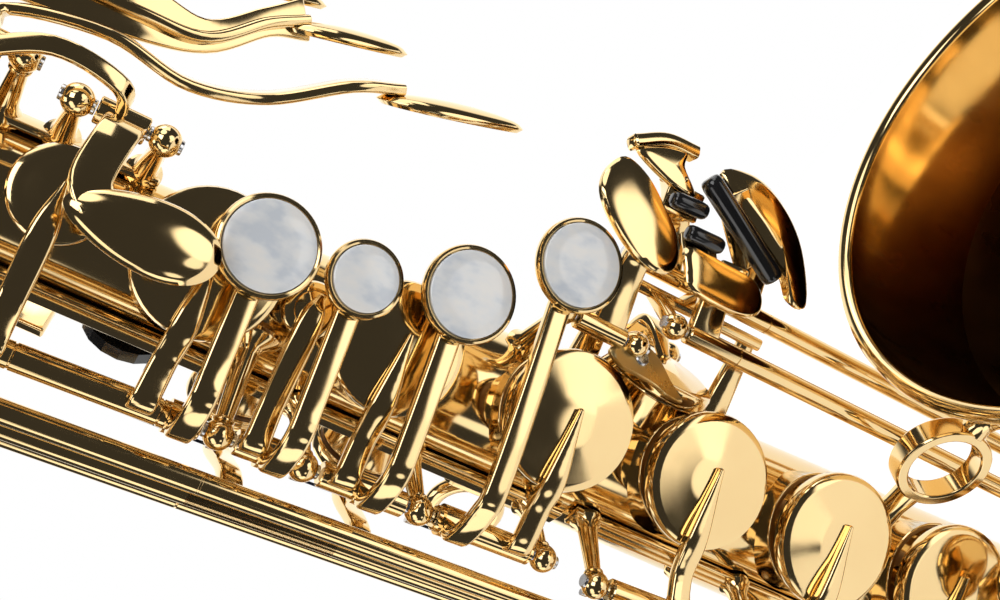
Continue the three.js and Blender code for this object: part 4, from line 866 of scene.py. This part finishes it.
def neck():
    tube = Shape()
    ts = [k / 60 for k in range(61)]
    tube.tube([V(0, 0, 601.5), V(0, 0, 605)] + [neck_at(t)[0] for t in ts], [10.9, 10.9] + [neck_radius(t) for t in ts],
              64)
    tube.turned([(11.5, 609), (14.6, 609), (15.2, 609.5), (15.2, 612), (14.6, 612.8), (12.2, 614.4), (11.5, 614.4)],
                V(0, 0, 0), UP, 64, closed=True)
    foot = neck_at(0.55)[0]
    tube.turned([(3.6, 0), (3.6, 8.2), (2.6, 9.2), (2.6, 13.6), (2.2, 14), (1.3, 14), (1.2, 0)], foot, UP, 32, closed=True)
    centre = neck_at(0.36)[0]
    for side in (-1, 1):
        tube.bar([V(side * 5, centre.y, centre.z + 4), V(side * 8.8, PIVOT.y, PIVOT.z)], 5, 2.6, V(0, 1, 0))
        tube.turned([(0, -1.4), (2.7, -1.4), (3, -1.1), (3, 1.1), (2.7, 1.4), (0, 1.4)], V(side * 8.8, PIVOT.y, PIVOT.z),
                    X_AXIS, 28)
    tube.make("neck_tube_look", "brass", replaces="neck_tube", bevel=0.15)
    cork = Shape()
    ts = [0.8 + 0.185 * k / 10 for k in range(11)]
    cork.tube([neck_at(t)[0] for t in ts], [7.8] + [8.2] * 9 + [7.8], 56)
    cork.make("neck_cork_look", "cork", replaces="neck_cork", bevel=0.2)


MOUTH_START, MOUTH_AXIS = neck_at(0.9)[0], neck_at(0.95)[1]
MOUTH_UP = V(0, -MOUTH_AXIS.z, MOUTH_AXIS.y)


def mouth_point(along, up, aside=0):
    return MOUTH_START + MOUTH_AXIS * along + MOUTH_UP * up + X_AXIS * aside


def mouth():
    piece = Shape()
    # distance along, half width, top and bottom
    sections = [(0, 12.0, 12.0, -12.0), (0.3, 12.9, 12.9, -12.9), (0.9, 13.5, 13.5, -13.5), (5.4, 13.5, 13.5, -13.5),
                (6.0, 12.9, 12.9, -12.9), (6.3, 12.3, 12.3, -12.3), (18, 12.1, 12.1, -12.1), (30, 11.8, 11.8, -11.8),
                (30.4, 11.8, 11.8, -8.8), (40, 11.5, 11.5, -8.8), (48, 10.9, 10.8, -8.8), (56, 9.9, 8.6, -8.7),
                (64, 9.1, 5.0, -8.6), (74, 8.5, -0.2, -8.4), (82, 7.9, -4.2, -8.1), (87, 7.3, -6.3, -7.9),
                (88, 6.9, -6.9, -7.8)]
    rings = []
    for along, half, top, bottom in sections:
        low = min(bottom, -half) if along <= 30 else -half
        centre, rise = (top + low) / 2, (top - low) / 2
        ring = []
        for k in range(64):
            a = 2 * math.pi * k / 64
            ring.append(mouth_point(along, max(bottom, centre + rise * math.sin(a)), half * math.cos(a)))
        rings.append(ring)
    piece.shell(rings)
    piece.make("mouthpiece_look", "resin", replaces="mouthpiece", bevel=0.2)
    clamp = Shape()
    clamp.turned([(14.2, 0), (15.2, 0), (15.7, 0.4), (15.7, 1.6), (15.3, 2.2), (15.0, 17.8), (15.3, 18.4), (15.2, 19.6),
                  (14.8, 20), (13.6, 20)], mouth_point(33, -1), MOUTH_AXIS, 64, closed=True)
    for s in (38, 48):
        clamp.turned([(0, -5), (1.8, -5), (1.8, 10), (4.2, 10.2), (4.4, 10.8), (4.4, 15.4), (4.2, 16), (0, 16)],
                     mouth_point(s, -14 - 1.6), X_AXIS, 20)
    clamp.bar([mouth_point(34, -15.5), mouth_point(52, -15.5)], 8, 4.6, X_AXIS)
    clamp.make("ligature_look", "brass", replaces="ligature", bevel=0.15)


def receiver():
    inner = body_radius(584) + 0.45
    outer = inner + 3
    shape = Shape()
    shape.turned([(inner, 584), (outer - 1.2, 584), (outer - 0.4, 584.6), (outer - 0.4, 586.6), (outer - 1.1, 587.4),
                  (outer - 1.1, 603.4), (outer - 0.2, 604.2), (outer, 607), (outer - 0.6, 608), (inner, 608)],
                 V(0, 0, 0), UP, 72, closed=True)
    for side in (-1, 1):
        shape.turned([(2.6, side * 1.1), (6, side * 1.1), (6, side * 5.6), (5.6, side * 6), (2.6, side * 6)],
                     V(0, 20.5, 598), X_AXIS, 36, closed=True)
        shape.bar([V(side * 3.4, 13.6, 598), V(side * 3.4, 18.6, 598)], 12, 4.6, UP)
    shape.make("neck_receiver_look", "brass", replaces="neck_receiver", bevel=0.15)


def brace():
    z, x, y = 320, -10, -43
    s = (z - BELL_BASE.z) / BELL_AXIS.z
    shape = Shape()
    shape.turned([(8.4, 0.4), (8.8, 0), (10.8, 0), (11.2, 0.5), (11.2, 5.5), (10.8, 6), (8.8, 6), (8.4, 5.6)],
                 V(x - 3, y, z), X_AXIS, 72, closed=True)
    body_edge = -math.sqrt((body_radius(z) + 0.4) ** 2 - x * x)
    reach = bell_radius(s) + 0.5
    bell_edge = bell_point(s).y + math.sqrt(reach * reach - x * x)
    for edge, ring_edge in ((body_edge, y + 11), (bell_edge, y - 11)):
        way = math.copysign(1, ring_edge - edge)
        length = abs(ring_edge - edge)
        shape.turned([(0, 0.3), (4.5, 0.3), (4.7, 0.9), (4.2, 1.6), (3.6, 2.6), (2.9, length * 0.7), (3.2, length + 0.6),
                      (0, length + 0.6)], V(x, edge, z), V(0, way, 0), 36)
    shape.make("bell_brace_look", "brass", replaces="bell_brace", bevel=0.15)


def back_fittings():
    surface = body_radius(405) + 0.35
    ring_y = surface + 11
    ring = Shape()
    ring.turned([(8 + 2 * math.cos(a), 2 * math.sin(a)) for a in (math.radians(d) for d in range(0, 360, 24))],
                V(0, ring_y, 405), X_AXIS, 56, closed=True)
    ring.bar([V(0, surface + 0.3, 405), V(0, surface + 2.3, 405)], 22, 9, UP)
    ring.bar([V(0, surface + 1.4, 405), V(0, ring_y - 8, 405)], [8, 6], 3.6, UP)
    ring.make("strap_ring_look", "brass", replaces="strap_ring", bevel=0.2)
    hook = Shape()
    z = 196
    surface = body_radius(z - 20) + 0.35
    hook.bar([V(0, surface + 0.2, z + 2), V(0, surface + 2.6, z + 2)], 40, 13, UP)
    hook.bar([V(0, surface + 2, z + 14), V(0, surface + 12, z + 16), V(0, surface + 22, z + 10),
              V(0, surface + 26, z - 2), V(0, surface + 24, z - 12)], [13, 15, 16, 16, 14], 3, X_AXIS)
    hook.make("thumb_hook_look", "brass", replaces="thumb_hook", bevel=0.2)


def guards():
    low, high = BellHole("low_b"), BellHole("low_bb")
    face = high.seat + 16.5
    ends = [low.s - 30, (low.s + high.s) / 2 - 1, high.s + 30]
    shape = Shape()

    def at(s, height):
        return low.at(height, 0, s - low.s)
    shape.bar([at(ends[0] - 2, face), at(ends[1], face), at(ends[2] + 2, face)], [10, 13, 10], 3, polar(1, 230, 0))
    for s in ends:
        foot = at(s, bell_radius(s) + 0.9)
        length = face - bell_radius(s) - 0.9
        shape.turned([(0, 0), (5.4, 0), (5.4, 0.8), (3, 1.8), (2.1, 4), (2.1, length - 3), (3.6, length - 1.2), (0, length)],
                     foot, low.out, 28)
    for s in (low.s, high.s):
        shape.turned([(0, -3.6), (6, -3.6), (6.6, -3), (6.6, 1.2), (6, 2.2), (0, 2.4)], at(s, face), low.out, 32)
    shape.make("bell_key_guard_look", "brass", replaces="bell_key_guard", bevel=0.15)
    shape = Shape()
    face = -(29.6 + CHIMNEY + 16.5 + 3)
    feet = [(-24, 38, 30.4), (20, 58, 21.6)]
    shape.bar([V(face, feet[0][0] - BOW_RADIUS, feet[0][1]), V(face, -BOW_RADIUS, 26),
               V(face, feet[1][0] - BOW_RADIUS, feet[1][1])], 3, 10, X_AXIS)
    for dy, z, surface in feet:
        length = -face - surface - 0.35
        shape.turned([(0, 0), (5, 0), (5, 0.8), (2.9, 1.8), (2.1, 4), (2.1, length)],
                     V(-surface - 0.35, dy - BOW_RADIUS, z), V(-1, 0, 0), 28)
    shape.turned([(0, -3), (6, -3), (6.6, -2.4), (6.6, 1.6), (6, 2.4), (0, 2.6)], V(face, -BOW_RADIUS, 26), V(-1, 0, 0), 32)
    shape.make("low_c_guard_look", "brass", replaces="low_c_guard", bevel=0.15)


def octave():
    x, y, z = 7, 26, 528
    lever = Shape()
    lever.turned([(0, -7), (2.35, -7), (2.6, -6.75), (2.6, 6.75), (2.35, 7), (0, 7)], V(x, y, z), X_AXIS, 28)
    lever.bar([V(x, y, z), V(x, y + 1, 518), V(x - 1, y - 1, 508)], [6, 11, 16], 2.4, X_AXIS)
    lever.bar([V(x + 4, y, z), V(x + 5, y + 1, 550), V(x + 5, y + 4, 575), V(x + 5, y + 3, 600), V(x + 5, y - 7.5, 616),
               V(x + 5, y - 7.5, 632)], [5, 5, 5, 5, 4, 4], 2.4, X_AXIS)
    lever.make("octave_lever_look", "brass", "octave_lever", "octave_lever")
    key = Shape()
    pad = neck_at(0.55)[0] + V(0, 0, 14 + CLOSED)
    top = pad.z + CUP_THICK
    key.turned([(0, -6), (2, -6), (2.2, -5.8), (2.2, 5.8), (2, 6), (0, 6)], PIVOT, X_AXIS, 28)
    key.bar([PIVOT, V(0, PIVOT.y + 12, top + 1), V(0, pad.y, top)], [5, 5, 3.6], 2.2, X_AXIS)
    key.turned([(0, 0), (3.9, 0), (4.2, 0.4), (4.2, 3.2), (3.4, 4.4), (0, 4.7)], pad, UP, 32)
    for side in (-1, 1):
        key.bar([V(side * 4, PIVOT.y, PIVOT.z), V(side * 6, PIVOT.y - 8, PIVOT.z - 2),
                 V(side * 15.5, PIVOT.y - 16, PIVOT.z - 14), V(side * 19, 2, 650), V(side * 19, 2, 624)], 4, 2.4,
                V(0, 0.7, 0.7))
    key.bar([V(-19, 2, 626), V(-16, 22, 626), V(0, 30, 626), V(16, 22, 626), V(19, 2, 626)], 4, 2.4, UP)
    key.make("neck_octave_key_look", "brass", "neck_octave_key", "neck_octave_key")


def springs():
    """Needle springs beside the stack rods, each from a post towards the middle of its key."""
    blue, hooks = Shape(), Shape()
    for rod, heights in ((UPPER_ROD, ((431.4, 412), (457, 440), (474.4, 496), (543, 524))),
                         (LOWER_ROD, ((284, 270), (346.8, 320), (389.6, 366), (258.4, 246)))):
        t, out = rod
        for z, far in heights:
            start, end = stack.at(t - 2.2, out - 3.4, z), stack.at(t - 2.2, out - 3.9, far)
            spring(blue, start, end, stack.out * -0.4)
            hooks.turned([(0, -0.8), (0.7, -0.8), (0.7, 0.8), (0, 0.8)], start, UP, 12)
    blue.make("needle_springs", "blue", bevel=0)
    hooks.make("spring_ends", "steel", bevel=0)


def base_plate():
    """The satin plate between the stack cups and the table, with rounded edges and a domed screw."""
    face = Facing(244)
    foot = V(-7.3, -29.1, 0)
    plate = Shape()
    outline = [(405.5, 1.5), (400.5, 5.2), (396, 6.2), (392.5, 4.4), (389, 0.4), (385.5, -3.2), (389.5, -3.4),
               (393, -2.2), (397.5, -1.6), (402.5, -1.2)]
    plate.plate([(z, -t) for z, t in outline], 1.4, foot, UP, face.out, smooth=5, rim=0.3)
    plate.make("table_base_plate", "satin", bevel=0)
    screw = Shape()
    centre = foot + face.at(2.4, 1.4, 397.5)
    screw.turned([(0, 0), (1.7, 0), (1.8, 0.3), (1.5, 0.7), (0, 0.9)], centre, face.out, 28)
    screw.make("table_base_screw", "steel", bevel=0.05)


def carried(names, material, bevel=0.3):
    """CAD nodes that are shown as they are, with softened edges and a finish."""
    for name in names:
        obj = frame["nodes"][name]
        obj.data.materials.clear()
        obj.data.materials.append(MATERIALS[material][0])
        obj.data.polygons.foreach_set("use_smooth", [True] * len(obj.data.polygons))
        obj.data.set_sharp_from_angle(angle=math.radians(32))
        m = obj.modifiers.new("edge", "BEVEL")
        m.width, m.segments, m.limit_method, m.angle_limit = bevel * 0.001, 2, "ANGLE", math.radians(38)
        m.harden_normals = True


body_pieces()
ferrule("bow_ferrule_body", V(0, 0, BOW_Z - 4), UP, body_radius(BOW_Z - 4), 14)
ferrule("bow_ferrule_bell", BOW_MOUTH - BELL_AXIS * 4, BELL_AXIS, BOW_LARGE + 0.9, 14)
rib("upper_rib", 159, 396, 548, 5.4, [stack.at(*UPPER_ROD, z) for z in (401.5, 431.4, 457, 543)], 2)
rib("lower_rib", 167, 229, 393.5, 5.4, [stack.at(*LOWER_ROD, z) for z in (234.4, 258.4, 284, 346.8, 389.6)])
rib("palm_rib", 283, 502, 582.5, 6, [V(-9, -31.5, z) for z in (505, 521)] + [V(2, -29, z) for z in (532, 549, 566, 579)])
for key_name, spec in STACK_KEYS.items():
    stack_key(key_name, *spec)
front_f()
for key_name, spec in PALM_KEYS.items():
    palm_key(key_name, *spec)
for key_name, spec in SIDE_KEYS.items():
    side_key(key_name, *spec)
table_keys()
table_bracket()
for roller_name, spec in ROLLERS.items():
    roller(roller_name, *spec)
pinky_keys()
neck()
mouth()
receiver()
brace()
back_fittings()
guards()
octave()
springs()
base_plate()
carried(["receiver_screw", "octave_rib"], "brass")
carried(["thumb_rest"], "resin")
carried(["reed"], "cane", 0.1)


# ---- Studio ----
# The camera's own directions; the panels are placed round them.
RIGHT, TOP = V(-0.088, -0.534, -0.841), V(0.569, -0.720, 0.398)
BACK = RIGHT.cross(TOP).normalized()
# direction, fully bright within, dark beyond (degrees), strength
PANELS = [
    (BACK + TOP * 1.5, 15, 19, 1.9), (BACK - TOP * 0.75 - RIGHT * 0.6, 12, 16, 1.7),
    (BACK * 0.6 + RIGHT * 1.2 + TOP * 0.3, 15, 19, 1.8), (BACK * 0.2 - TOP - RIGHT * 0.1, 12, 16, 1.6),
    (-BACK + TOP * 0.2, 46, 56, 1.25), (V(0.9, -0.5, 0.6), 14, 18, 1.8), (V(0.3, 1, 0.35), 15, 19, 1.8),
    (V(-0.9, 0.5, 0.2), 12, 16, 1.5), (V(-0.25, -0.85, -0.45), 9, 12, 1.6),
    (V(-0.72, 0.60, -0.39), 12, 15, 1.6), (V(-0.92, -0.05, -0.39), 5, 8, 1.4), (V(-0.62, -0.6, -0.5), 7, 10, 1.4),
]


def world():
    """Pale to the camera; in reflections a dark room with a few large white panels."""
    w = bpy.data.worlds.new("studio")
    bpy.context.scene.world = w
    w.use_nodes = True
    tree = w.node_tree
    tree.nodes.clear()
    out = tree.nodes.new("ShaderNodeOutputWorld")
    path = tree.nodes.new("ShaderNodeLightPath")
    coords = tree.nodes.new("ShaderNodeTexCoord")
    level = None
    for direction, inner, outer, strength in PANELS:
        dot = tree.nodes.new("ShaderNodeVectorMath")
        dot.operation = "DOT_PRODUCT"
        dot.inputs[1].default_value = direction.normalized()
        tree.links.new(coords.outputs["Generated"], dot.inputs[0])
        edge = tree.nodes.new("ShaderNodeMapRange")
        edge.interpolation_type = "SMOOTHSTEP"
        edge.inputs["From Min"].default_value = math.cos(math.radians(outer))
        edge.inputs["From Max"].default_value = math.cos(math.radians(inner))
        edge.inputs["To Max"].default_value = strength
        tree.links.new(dot.outputs["Value"], edge.inputs["Value"])
        if level is None:
            level = edge.outputs["Result"]
        else:
            most = tree.nodes.new("ShaderNodeMath")
            most.operation = "MAXIMUM"
            tree.links.new(level, most.inputs[0])
            tree.links.new(edge.outputs["Result"], most.inputs[1])
            level = most.outputs["Value"]
    dim = tree.nodes.new("ShaderNodeMath")
    dim.operation = "ADD"
    dim.inputs[1].default_value = 0.045
    tree.links.new(level, dim.inputs[0])
    room = tree.nodes.new("ShaderNodeBackground")
    room.inputs["Color"].default_value = (1, 0.98, 0.95, 1)
    tree.links.new(dim.outputs["Value"], room.inputs["Strength"])
    pale = tree.nodes.new("ShaderNodeBackground")
    pale.inputs["Color"].default_value = (1, 1, 1, 1)
    pale.inputs["Strength"].default_value = 1.0
    mix = tree.nodes.new("ShaderNodeMixShader")
    tree.links.new(path.outputs["Is Camera Ray"], mix.inputs["Fac"])
    tree.links.new(room.outputs["Background"], mix.inputs[1])
    tree.links.new(pale.outputs["Background"], mix.inputs[2])
    tree.links.new(mix.outputs["Shader"], out.inputs["Surface"])


def area(name, place, target, size, power):
    light = bpy.data.lights.new(name, "AREA")
    light.shape, light.size, light.size_y, light.energy = "RECTANGLE", size[0], size[1], power
    obj = bpy.data.objects.new(name, light)
    bpy.context.scene.collection.objects.link(obj)
    obj.location = place
    obj.rotation_euler = (Vector(target) - Vector(place)).to_track_quat("-Z", "Y").to_euler()


def floor():
    low = CAD_BOX[0][2] - 0.004
    me = bpy.data.meshes.new("floor")
    edge = [(0.62 * math.cos(a), 0.62 * math.sin(a), low) for a in (2 * math.pi * k / 96 for k in range(96))]
    me.from_pydata(edge, [], [list(range(96))])
    obj = bpy.data.objects.new("floor", me)
    bpy.context.scene.collection.objects.link(obj)
    mat, tree, s = nodes_of("floor_paper")
    paper = ramp(tree, noise(tree, 2, 2), [(0.3, (0.86, 0.86, 0.86)), (0.7, (0.9, 0.9, 0.9))])
    tree.links.new(paper, s.inputs["Base Color"])
    tree.links.new(paper, s.inputs["Emission Color"])
    s.inputs["Emission Strength"].default_value = 0.6
    s.inputs["Roughness"].default_value = 0.9
    me.materials.append(mat)


world()
floor()
area("key_light", (-0.9, -0.9, 1.3), (0, -0.05, 0), (0.9, 0.9), 8)
area("fill_light", (0.9, -1.2, 0.6), (0, -0.05, 0), (1.0, 1.0), 5)
area("top_light", (-0.2, 0.6, 1.6), (0, -0.05, 0), (1.2, 0.6), 5)

camera = bpy.data.objects.new("camera", bpy.data.cameras.new("camera"))
bpy.context.scene.collection.objects.link(camera)
up = BACK.cross(RIGHT).normalized()
turn = Matrix((RIGHT.normalized(), up, BACK)).transposed().to_4x4()
camera.matrix_world = Matrix.Translation((-0.1985, -0.1633, 0.1140)) @ turn
camera.data.lens, camera.data.sensor_width, camera.data.clip_start = 41.5, 36, 0.01
bpy.context.scene.camera = camera
bpy.context.scene.view_settings.view_transform = "Standard"
